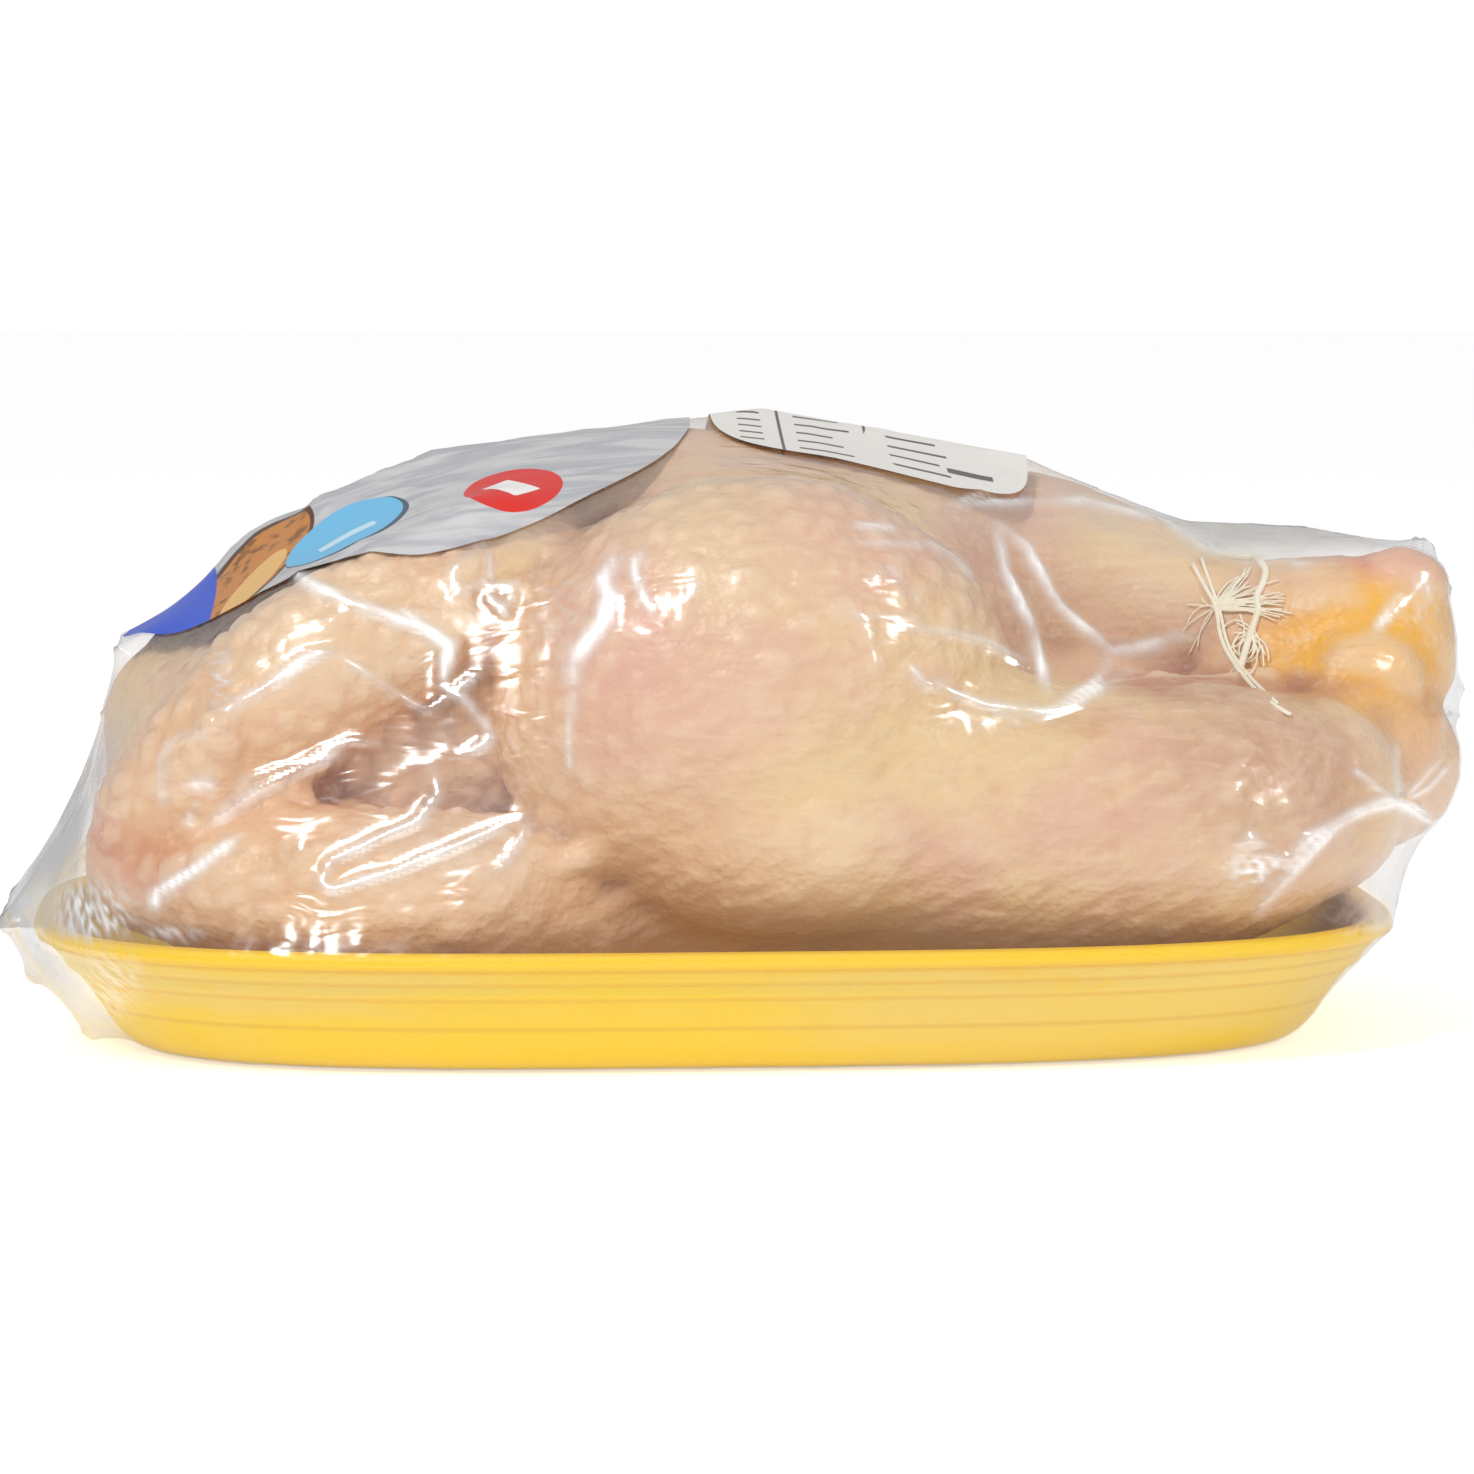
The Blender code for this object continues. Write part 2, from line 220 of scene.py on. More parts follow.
class Shape:
    """Points with four-sided and three-sided faces, as arrays."""

    def __init__(self, points, quads, tris):
        self.points, self.quads, self.tris = points, quads, tris

    def outward(self):
        """Turns the faces if the volume, a sixth of the sum of a . (b x c), comes out below zero."""
        q, p = self.quads, self.points
        both = np.concatenate((self.tris, q[:, (0, 1, 2)], q[:, (0, 2, 3)]))
        a, b, c = p[both[:, 0]], p[both[:, 1]], p[both[:, 2]]
        if (a * np.cross(b, c)).sum() < 0:
            self.quads, self.tris = q[:, ::-1], self.tris[:, ::-1]
        return self

    def object(self, name):
        """The shape as a smooth-shaded object of that name."""
        mesh = bpy.data.meshes.new(name)
        n4, n3 = len(self.quads), len(self.tris)
        mesh.vertices.add(len(self.points))
        mesh.vertices.foreach_set("co", self.points.astype(np.float32).ravel())
        mesh.loops.add(4 * n4 + 3 * n3)
        corners = np.concatenate((self.quads.ravel(), self.tris.ravel())).astype(np.int32)
        mesh.loops.foreach_set("vertex_index", corners)
        mesh.polygons.add(n4 + n3)
        starts = np.concatenate((4 * np.arange(n4), 4 * n4 + 3 * np.arange(n3))).astype(np.int32)
        mesh.polygons.foreach_set("loop_start", starts)
        mesh.update(calc_edges=True)
        mesh.validate()
        mesh.shade_smooth()
        made = bpy.data.objects.new(name, mesh)
        bpy.context.scene.collection.objects.link(made)
        return made


def closed_grid(grid):
    """A closed skin over grid[row, column]: columns run round, and the first and the last row close on the
    mean of their points."""
    rows, columns = grid.shape[:2]
    index = np.arange(rows * columns).reshape(rows, columns)
    turned = np.roll(index, -1, 1)
    quads = np.stack((index[:-1], turned[:-1], turned[1:], index[1:]), -1).reshape(-1, 4)
    first, last = rows * columns, rows * columns + 1
    fan = np.stack((np.full(columns, first), turned[0], index[0]), -1)
    end = np.stack((np.full(columns, last), index[-1], turned[-1]), -1)
    points = np.concatenate((grid.reshape(-1, 3), grid[:1].mean(1), grid[-1:].mean(1)))
    return Shape(points, quads, np.concatenate((fan, end))).outward()


def open_grid(grid):
    """A sheet over grid[row, column]."""
    rows, columns = grid.shape[:2]
    index = np.arange(rows * columns).reshape(rows, columns)
    quads = np.stack((index[:-1, :-1], index[1:, :-1], index[1:, 1:], index[:-1, 1:]), -1).reshape(-1, 4)
    return Shape(grid.reshape(-1, 3), quads, np.zeros((0, 3), int))


def together(shapes):
    """One shape of several: their points in a row, with each one's faces counted on from the last."""
    points, quads, tris, count = [], [], [], 0
    for s in shapes:
        points.append(s.points)
        quads.append(s.quads + count)
        tris.append(s.tris + count)
        count += len(s.points)
    return Shape(np.concatenate(points), np.concatenate(quads), np.concatenate(tris))


def ball(centre, radii, rows=24, columns=40):
    """Centre plus the radii times (sin v cos u, sin v sin u, cos v), in mm."""
    v = (np.arange(rows) + 0.5)[:, None] * pi / rows
    u = np.arange(columns)[None] * 2 * pi / columns
    unit = np.stack((np.sin(v) * np.cos(u), np.sin(v) * np.sin(u), np.cos(v) + 0 * u), -1)
    return closed_grid((np.array(centre) + np.array(radii) * unit) * MM + SHIFT)


def spline_weights(count, samples):
    """Weights of a quadratic B-spline through count stations whose ends it meets: knots repeated at both
    ends, and each weight built up from the two below it."""
    knots = np.concatenate(((0, 0), np.arange(count - 1), (count - 2, count - 2))).astype(float)
    t = np.linspace(0, count - 2, samples)
    t[-1] -= 1e-9
    w = [((knots[k] <= t) & (t < knots[k + 1])).astype(float) for k in range(len(knots) - 1)]
    for degree in (1, 2):
        grown = []
        for k in range(len(w) - 1):
            rise = knots[k + degree] - knots[k]
            fall = knots[k + degree + 1] - knots[k + 1]
            up = (t - knots[k]) / rise * w[k] if rise else 0
            down = (knots[k + degree + 1] - t) / fall * w[k + 1] if fall else 0
            grown.append(up + down)
        w = grown
    return np.stack(w, -1)


def limb(stations, columns=40):
    """A tube of changing radius: the spline of the stations (x, y, z, radius) plus the radius times
    (side cos u + up sin u), with a ball on each end. Side is the path's direction crossed with Y."""
    s = np.array(stations, float)
    path = spline_weights(len(s), 12 * len(s)) @ s
    along = np.gradient(path[:, :3], axis=0)
    along /= np.linalg.norm(along, axis=1, keepdims=True)
    side = np.cross(along, (0, 1, 0))
    side /= np.linalg.norm(side, axis=1, keepdims=True)
    up = np.cross(side, along)
    u = np.arange(columns) * 2 * pi / columns
    ring = side[:, None] * np.cos(u)[None, :, None] + up[:, None] * np.sin(u)[None, :, None]
    grid = path[:, None, :3] + path[:, None, 3:] * ring
    tube = closed_grid(grid * MM + SHIFT)
    return [tube, ball(s[0, :3], s[0, 3]), ball(s[-1, :3], s[-1, 3])]


def mirrored(stations):
    """The same stations on the far side: y changes its sign."""
    return [(x, -y, z, radius) for x, y, z, radius in stations]


def read_mesh(obj):
    """Points, point normals and the point of each face corner, of an object as its modifiers leave it."""
    graph = bpy.context.evaluated_depsgraph_get()
    mesh = bpy.data.meshes.new_from_object(obj.evaluated_get(graph))
    points = np.empty(3 * len(mesh.vertices), np.float32)
    mesh.vertices.foreach_get("co", points)
    normals = np.empty(3 * len(mesh.vertices), np.float32)
    mesh.vertices.foreach_get("normal", normals)
    corners = np.empty(len(mesh.loops), np.int32)
    mesh.loops.foreach_get("vertex_index", corners)
    bpy.data.meshes.remove(mesh)
    return points.reshape(-1, 3).astype(float), normals.reshape(-1, 3).astype(float), corners


def give(obj, name, values):
    """A number for each point, which the materials read by name."""
    made = obj.data.attributes.new(name, "FLOAT", "POINT")
    made.data.foreach_set("value", values.astype(np.float32))


# Bird

def torso():
    """The body as balls that run into each other: breast, its crest, shoulders, back, vent and neck."""
    top = BREAST_TOP
    return [
        ball((-18, 0, top - 60), (92, 55, 59)),
        ball((-2, 0, top - 30), (66, 30, 28)),
        ball((-78, 0, 56), (60, 50, 51)),
        ball((58, 0, 46), (72, 48, 40)),
        ball((-10, 0, 34), (118, 54, 30)),
        ball((116, 4, 42), (26, 24, 20)),
        ball((-122, 6, 66), (17, 20, 18)),
        ball((-86, 0, 70), (38, 34, 44)),
    ]


def legs():
    """The near leg lies low along the tray; the far one crosses over it, and its hock lies on top."""
    near = [(30, -50, 54, 34), (52, -53, 49, 31), (80, -54, 49, 29), (104, -50, 51, 28), (118, -44, 53, 22)]
    near_hock = [(112, -38, 55, 17), (130, -28, 57, 19), (138, -20, 58, 18)]
    far = [(14, 40, 80, 36), (38, 30, 88, 31), (60, 14, 95, 27), (84, 2, 92, 22), (104, -7, 89, 14)]
    far_hock = [(102, -7, 89, 13), (116, -11, 88, 14), (128, -15, 86, 18), (139, -16, 85, 17)]
    haunch = [(8, 44, 58, 38), (52, 46, 40, 33), (84, 34, 38, 26)]
    made = []
    for stations in (near, near_hock, far, far_hock, haunch):
        made += limb(stations)
    for side in (-1, 1):
        made.append(ball((0, 49 * side, 74), (55, 38, 48)))
        made.append(ball((12, 54 * side, 51), (46, 33, 27)))
    knuckles = (((143, -20, 97), (11, 10, 8)), ((147, -12, 78), (10, 12, 9)), ((133, -33, 78), (13, 8, 10)),
                ((126, -25, 75), (18, 11, 11)), ((114, -18, 78), (15, 11, 11)))
    return made + [ball(centre, radii) for centre, radii in knuckles]


def wings():
    """Each wing is folded like a '<': the upper arm slopes down to the elbow, the rest lies on the tray."""
    upper = [(-50, -38, 104, 15), (-80, -48, 91, 17), (-106, -51, 71, 18), (-124, -44, 50, 15)]
    lower = [(-125, -44, 41, 15), (-100, -60, 37, 18), (-66, -65, 36, 18), (-38, -53, 33, 15),
             (-8, -44, 28, 11)]
    made = []
    for turn in (list, mirrored):
        made += limb(turn(upper))
        made += limb(turn(lower))
    return made


def one_skin(shape):
    """The pieces become one closed skin that spans their narrow creases, as skin does: it is remeshed in
    cells, swollen, remeshed, drawn back and smoothed."""
    rough = shape.object("rough_bird")
    for swell in (SKIN_BRIDGE, -SKIN_BRIDGE, None):
        remesh = rough.modifiers.new("cells", "REMESH")
        remesh.mode = "VOXEL"
        remesh.voxel_size = SKIN_CELL
        soften = rough.modifiers.new("soften", "SMOOTH")
        soften.factor = 0.5
        soften.iterations = SKIN_SMOOTHINGS
        if swell:
            move = rough.modifiers.new("swell", "DISPLACE")
            move.mid_level = 0
            move.strength = swell
    points, normals, corners = read_mesh(rough)
    bpy.data.objects.remove(rough)
    return points, normals, corners.reshape(-1, 4)


def neighbour_mean(values, pairs, count):
    """Mean over the points that share an edge: sums by index over the edge list, both ways."""
    out = np.empty_like(values)
    degree = np.bincount(pairs[:, 0], minlength=count)
    for k in range(values.shape[1]):
        out[:, k] = np.bincount(pairs[:, 0], values[pairs[:, 1], k], count) / degree
    return out


def hollowness(points, normals, quads, rounds):
    """How deep each point lies in a hollow, in metres: its distance below the skin averaged over rounds."""
    edges = np.concatenate([np.stack((quads[:, k], quads[:, (k + 1) % 4]), -1) for k in range(4)])
    pairs = np.concatenate((edges, edges[:, ::-1]))
    mean = points
    for _ in range(rounds):
        mean = neighbour_mean(mean, pairs, len(points))
    return ((mean - points) * normals).sum(1)


def fat_lumps():
    """Plump lumps of fat under the skin, along the wings and in the near leg's crease: flat balls whose
    sizes and places vary along the line between two points. Each row is start, end, count and size in mm."""
    rng = np.random.default_rng(SEED)
    rows = (
        ((-118, -62, 62), (-62, -60, 92), 13, 5.6),
        ((-112, -67, 72), (-60, -58, 101), 9, 4.4),
        ((40, -70, 75), (68, -62, 66), 8, 4.2),
        ((66, -44, 76), (112, -36, 78), 9, 3.6),
        ((-96, -76, 47), (-34, -70, 44), 12, 3.4),
    )
    made = []
    for start, end, count, size in rows:
        for share in np.linspace(0, 1, count):
            for side in (1, -1):
                centre = np.array(start) + share * (np.array(end) - start) + rng.normal(0, 1.1, 3)
                radii = size * rng.uniform(0.75, 1.25, 3) * (1, 0.62, 1)
                if side > 0 or centre[0] < 0:
                    made.append(ball(centre * (1, side, 1), radii, 10, 16))
    return made


def skin_relief(points):
    """Height of the skin in metres: plump patches, cells of fat whose size depends on the place, and fine
    folds, which are noise drawn out along a slanting direction."""
    plump = 1.1 * MM * clouds(points, 26 * MM, 1) + 0.45 * MM * clouds(points, 9 * MM, 2)
    near_side = near_half(points)
    on_wing = blob(near_side, (-90, -60, 70), (62, 50, 46))
    on_thigh = blob(near_side, (8, -60, 104), (60, 60, 28))
    near, second = cells(points + 0.8 * MM * clouds(points, 5 * MM, 3)[:, None], FAT_CELL, 4)
    cobble = np.clip(second - near, 0, 0.5) * (0.35 + 1.5 * on_wing + 0.9 * on_thigh)
    slant = points @ np.array(((0.86, 0, 0.51), (0, 0.7, 0), (-0.51, 0, 0.86))).T
    folds = 1 - np.abs(clouds(slant / (20, 4, 2.6), 1 * MM, 5, 2))
    on_leg = blob(near_side, (30, -70, 50), (95, 60, 42)) * (1 - on_wing)
    return plump + 1.25 * MM * cobble + 0.5 * MM * (folds ** 4 - 0.3) * (0.25 + on_leg)


def make_bird():
    """The skin over all pieces, each point moved along its normal by the relief and kept above the tray."""
    points, normals, quads = one_skin(together(torso() + legs() + wings() + fat_lumps()))
    points = points + normals * skin_relief(points)[:, None]
    points[:, 2] = np.maximum(points[:, 2], TRAY_WALL + 1 * MM)
    bird = Shape(points, quads, np.zeros((0, 3), int)).object("raw_bird")
    give(bird, "hollow", hollowness(points, normals, quads, HOLLOW_ROUNDS) / MM)
    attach(bird, "root")
    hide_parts("chicken_in_film")
    return bird


# Twine

def on_skin(bird, pixels, lift):
    """Points where the camera's rays through pixels of the photograph meet the bird, lifted along its
    normals. Rays that miss are left out."""
    place, right, up, forward = camera_axes()
    focal = PHOTO_PIXELS * CAMERA_DISTANCE / FRAME_WIDTH
    made = []
    for x, y in np.asarray(pixels, float) - PHOTO_PIXELS / 2:
        hit, point, normal, _ = bird.ray_cast(Vector(place), Vector(forward + (right * x - up * y) / focal))
        if hit:
            made.append(np.array(point) + lift * np.array(normal))
    return np.array(made)


def thread(path, radius, columns=7):
    """A round thread along a path: the spline of its points plus the radius times (side cos u + up sin u)."""
    path = spline_weights(len(path), 6 * len(path)) @ path
    along = np.gradient(path, axis=0)
    side = np.cross(along, camera_axes()[3])
    side /= np.maximum(np.linalg.norm(side, axis=1, keepdims=True), 1e-9)
    up = np.cross(side, along)
    up /= np.maximum(np.linalg.norm(up, axis=1, keepdims=True), 1e-9)
    u = np.arange(columns)[None, :, None] * 2 * pi / columns
    return closed_grid(path[:, None] + radius * (side[:, None] * np.cos(u) + up[:, None] * np.sin(u)))


def twine_paths():
    """Threads as (line in photograph pixels, radius in mm, lift in mm): the cord over the hocks, the frayed
    tufts that fan out from the knot, and curls, which are turns of a drifting circle."""
    rng = np.random.default_rng(SEED)
    knot = np.array(KNOT)
    made = [(((1192, 566), (1206, 590), KNOT, (1222, 645), (1244, 680), (1268, 706), (1290, 717)), 0.5, 0.6)]
    made.append((((1200, 560), (1212, 590), (1221, 612), (1228, 648), (1250, 682), (1276, 706)), 0.4, 0.7))
    for tip, spread, count in (((1284, 604), 11, 16), ((1250, 577), 6, 10), ((1262, 596), 12, 8)):
        for _ in range(count):
            end = np.array(tip) + rng.normal(0, spread, 2) * (1, 0.8)
            bend = (knot + end) / 2 + rng.normal(0, 5, 2)
            made.append(((knot + rng.normal(0, 3, 2), bend, end), 0.17, 0.8))
    for side in range(7):
        end = knot + (-14 - 5 * side % 21, -16 + 11 * side) + rng.normal(0, 4, 2)
        made.append(((knot, (knot + end) / 2 + rng.normal(0, 9, 2), end), 0.15, 0.6))
    for curl in range(6):
        u = np.linspace(0, 2 * pi * rng.uniform(0.9, 1.4), 14)[:, None] - 2.0 + 0.3 * curl
        drift = np.array((1242, 645)) + rng.normal(0, 5, 2) + u * (1.5, 2.0)
        size = rng.uniform(12, 24)
        made.append((drift + size * np.hstack((0.8 * np.cos(u), np.sin(u))), 0.2, 0.9))
    return made


def make_twine(bird):
    """All threads as one piece, with a ring round the far leg: a leaning circle, each point of which goes to
    the nearest place on the skin."""
    threads = []
    for pixels, radius, lift in twine_paths():
        path = on_skin(bird, pixels, lift * MM)
        if len(path) > 2:
            threads.append(thread(path, radius * MM))
    u = np.linspace(0, 2 * pi, 40)[:, None]
    ring = np.array(RING_MIDDLE) + RING_RADIUS * (np.cos(u) * (0.25, 0, 0.97) + np.sin(u) * (0, 1, 0))
    hugging = []
    for point in ring * MM + SHIFT:
        _, skin, normal, _ = bird.closest_point_on_mesh(Vector(point))
        hugging.append(np.array(skin) + 0.5 * MM * np.array(normal))
    threads.append(thread(np.array(hugging), 0.8 * MM))
    shape = together(threads)
    twine = shape.object("twine")
    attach(twine, "root")
    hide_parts("chicken_in_film")
    return twine, shape


# Tray

def tray_rings(stations, columns):
    """Rings of |x/a|^n + |y/b|^n = 1 with the squareness n, each one inset from the rim and at its height."""
    u = np.arange(columns) * 2 * pi / columns
    power = 2 / TRAY_SQUARENESS
    across = np.sign(np.cos(u)) * np.abs(np.cos(u)) ** power
    along = np.sign(np.sin(u)) * np.abs(np.sin(u)) ** power
    s = np.array(stations) * MM
    x = TRAY_MIDDLE_X + (TRAY_LENGTH / 2 - s[:, :1]) * across
    y = (TRAY_WIDTH / 2 - s[:, :1]) * along
    return np.stack((x, y, s[:, 1:] + 0 * x), -1)


def tray_profile():
    """The tray's cross-section from the middle of its base out to the lip and back in to its floor, as
    (inset, height) in mm: a B-spline through the stations, in which a repeated station makes an edge."""
    flare, top, wall = TRAY_FLARE / MM, TRAY_HEIGHT / MM, TRAY_WALL / MM
    stations = [
        (91, 0), (60, 0), (flare + 6, 0), (flare + 6, 0), (flare + 1, 0.8), (flare - 3, 5), (13.5, 9.5),
        (8.4, 16.4), (8.4, 16.4), (6.6, 17.2), (5.4, 20), (5.4, 20), (4.2, 20.6), (2.6, 23.4), (2.6, 23.4),
        (0.4, 23.8), (-0.1, 25), (0.5, 26.8), (2, top), (5, top), (7, 25.2), (8 + wall, 17),
        (flare + wall, 7), (flare + 8, wall), (flare + 12, wall), (60, wall), (91, wall),
    ]
    return spline_weights(len(stations), 5 * len(stations)) @ np.array(stations)


def make_tray():
    """The tray as a skin over the rings of its cross-section, closed on the middle of base and floor."""
    tray = closed_grid(tray_rings(tray_profile(), 360))
    made = tray.object("foam_tray")
    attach(made, "root")
    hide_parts("tray")
    return made, tray


# Film

def film_columns():
    """Angle of each column of rays round the axis, 0 towards the near side, closer together there."""
    turn = np.arange(FILM_COLUMNS) / FILM_COLUMNS * 2 * pi
    return turn - FILM_CROWDING * np.sin(turn)


def film_rays():
    """Start and direction of each ray. Past an end of the axis the start stays and the direction tips over,
    by an angle of the distance past the end over the end scale."""
    reach = FILM_AXIS_HALF + pi / 2 * FILM_END_SCALE
    place = (np.arange(FILM_ROWS) + 0.5) / FILM_ROWS * 2 * reach - reach
    x = np.clip(place, -FILM_AXIS_HALF, FILM_AXIS_HALF)[:, None]
    tip = (place[:, None] - x) / FILM_END_SCALE
    turn = film_columns()[None]
    out = np.stack((np.sin(tip) + 0 * turn, -np.cos(tip) * np.cos(turn), np.cos(tip) * np.sin(turn)), -1)
    start = np.stack((x + 0 * turn, 0 * x + 0 * turn, FILM_AXIS_HEIGHT + 0 * (x + turn)), -1)
    return start + SHIFT, out


def ray_of(points):
    """Row, column and distance of the ray that each point lies on: film_rays turned round."""
    p = points - SHIFT - (0, 0, FILM_AXIS_HEIGHT)
    x = np.clip(p[:, 0], -FILM_AXIS_HALF, FILM_AXIS_HALF)
    side = np.hypot(p[:, 1], p[:, 2])
    place = x + FILM_END_SCALE * np.arctan2(p[:, 0] - x, side)
    reach = FILM_AXIS_HALF + pi / 2 * FILM_END_SCALE
    row = (place + reach) / (2 * reach) * FILM_ROWS - 0.5
    angle = np.mod(np.arctan2(p[:, 2], -p[:, 1]), 2 * pi)
    turns = np.concatenate((film_columns(), (2 * pi,)))
    column = np.interp(angle, turns, np.arange(FILM_COLUMNS + 1))
    return row, column, np.hypot(side, p[:, 0] - x)


def grid_normals(grid, out):
    """Unit cross products of the steps along rows and columns, on the side that the rays leave by."""
    normal = np.cross(np.gradient(grid, axis=0), np.roll(grid, -1, 1) - np.roll(grid, 1, 1))
    normal /= np.maximum(np.linalg.norm(normal, axis=-1, keepdims=True), 1e-12)
    return normal * np.sign((normal * out).sum(-1, keepdims=True))


def capped(start, out, far, least, rows):
    """The rows inside the ring number rows, at each end, lie on the plane nearest to that ring, plus the
    ring's distances from it times the square of the share of the way out from the pole."""
    far = far.copy()
    share = ((np.arange(rows) + 0.5) / (rows + 0.5))[:, None] ** 2
    for way in (1, -1):
        s, o, f, low = start[::way], out[::way], far[::way], least[::way]
        ring = s[rows] + o[rows] * f[rows, :, None]
        centre = ring.mean(0)
        normal = np.linalg.svd(ring - centre)[2][2]
        plane = ((centre - s[:rows + 1]) @ normal) / (o[:rows + 1] @ normal)
        f[:rows] = np.maximum(low[:rows], plane[:rows] + share * (f[rows] - plane[rows]))
    return far


def stretched(start, out, least, far, rounds, cap=0):
    """Distances along the rays of a stretched sheet. Each point goes to the plane that the mean of its
    neighbours lies on, square to the sheet there, and no nearer than least. Closer neighbours count more,
    by the squares of the distances. With a cap the rows round the poles follow the ring outside them."""
    for turn in range(rounds):
        if turn % FILM_REFRESH == 0:
            if cap:
                far = capped(start, out, far, least, cap)
            p = start + out * far[..., None]
            normal = grid_normals(p, out)
            lean = np.maximum((normal * out).sum(-1), 0.4)
            row_gap = np.square(np.gradient(p, axis=0)).sum(-1)
            column_gap = np.square(np.roll(p, 1, 1) - np.roll(p, -1, 1)).sum(-1) / 4
            around = np.clip(row_gap / (row_gap + column_gap), 0.1, 0.96)[..., None]
        p = start + out * far[..., None]
        before = np.concatenate((p[:1], p[:-1]))
        after = np.concatenate((p[1:], p[-1:]))
        beside = (np.roll(p, 1, 1) + np.roll(p, -1, 1)) / 2
        mean = beside * around + (before + after) / 2 * (1 - around)
        step = np.clip(0.7 * ((mean - p) * normal).sum(-1) / lean, -MM, MM)
        if cap:
            step[:cap] = step[-cap:] = 0
        far = np.maximum(least, far + step)
    return capped(start, out, far, least, cap) if cap else far


def finer(far, across):
    """Values on a grid twice as fine: three quarters of the nearest and a quarter of the next one, in rows
    and in columns. The row past a pole is the end row itself, read at the columns across."""
    rows = np.concatenate((far[:1, across], far, far[-1:, across]))
    rows = np.stack((rows[:-2] + 3 * rows[1:-1], 3 * rows[1:-1] + rows[2:]), 1).reshape(-1, far.shape[1]) / 4
    left, right = np.roll(rows, 1, 1), np.roll(rows, -1, 1)
    return np.stack((left + 3 * rows, 3 * rows + right), 2).reshape(len(rows), -1) / 4


def drawn_tight(start, out, least):
    """The stretched sheet worked out on coarse grids first. A block of a coarse grid has its middle ray."""
    far = None
    for step, rounds in FILM_GRIDS:
        pick = (slice(step // 2, None, step), slice(step // 2, None, step))
        floor = least[pick]
        if far is None:
            far = floor
        else:
            turns = film_columns()[step::2 * step]
            opposite = np.interp(np.mod(turns + pi, 2 * pi), turns, np.arange(len(turns)), period=2 * pi)
            far = np.maximum(floor, finer(far, np.rint(opposite).astype(int) % len(turns)))
        far = stretched(start[pick], out[pick], floor, far, rounds, max(1, FILM_CAP_ROWS // step))
    return far


def film_lines():
    """Lines in mm along which the film stands off the bird: round the tray's ends, up both ends of the
    bird, along the printed label's near edge and along the ridge on top."""
    ends = [(-159, 30, 26), (-153, 28, 15), (-141, 26, 2), (-137, 22, 71), (-134, 20, 84.5)]
    ends += [(158, 12, 74), (157, 12, 68), (151, 15, 51), (139, 32, 35), (151, 9, 105), (155, 9, 96)]
    lines = [[(x, -y - 3, z), (x, y - 3, z)] for x, y, z in ends]
    lines.append([(-133, -21, 80), (-124, -18, 88), (-97, -25, 103), (-74, -48, 108), (-45, -50, 114)])
    top = (6, 8, 133.5)
    lines.append([(-91, -10, 115), (-65, -5, 125.5), (-34, -4, 129), (-16, 0, 131.5), top])
    lines.append([top, (62, 4, 123.5), (71, 2, 119.5), (98, 8, 109), (127, 8, 107.5), (151, -4, 103)])
    return lines


def line_points(line, count=200):
    """Points spread evenly along each straight piece of a line."""
    ends = np.array(line, float)
    share = np.linspace(0, len(ends) - 1, count)
    return np.stack([np.interp(share, np.arange(len(ends)), ends[:, k]) for k in range(ends.shape[1])], -1)


def obstacle_distances(start, out, solids):
    """How far out the solids reach along each ray: a closed cage of rays' ends is let down on them."""
    cage = closed_grid(start + FILM_CAGE * out).object("film_cage")
    block = solids.object("film_block")
    let_down = cage.modifiers.new("let down", "SHRINKWRAP")
    let_down.target = block
    let_down.wrap_method = "PROJECT"
    let_down.use_negative_direction = True
    let_down.use_positive_direction = False
    points = read_mesh(cage)[0][:-2].reshape(start.shape)
    bpy.data.objects.remove(cage)
    bpy.data.objects.remove(block)
    return ((points - start) * out).sum(-1)


def near_line(pixels, line):
    """Distance in mm from pixels of the photograph to a line of them, and the share of the way along it."""
    best = np.full(len(pixels), 1e9)
    share = np.zeros(len(pixels))
    ends = np.array(line, float)
    for k in range(len(ends) - 1):
        step = ends[k + 1] - ends[k]
        t = np.clip(((pixels - ends[k]) @ step) / (step @ step), 0, 1)
        d = np.linalg.norm(pixels - ends[k] - t[:, None] * step, axis=1)
        share = np.where(d < best, (k + t) / (len(ends) - 1), share)
        best = np.minimum(best, d)
    return best * FRAME_WIDTH / PHOTO_PIXELS / MM, share
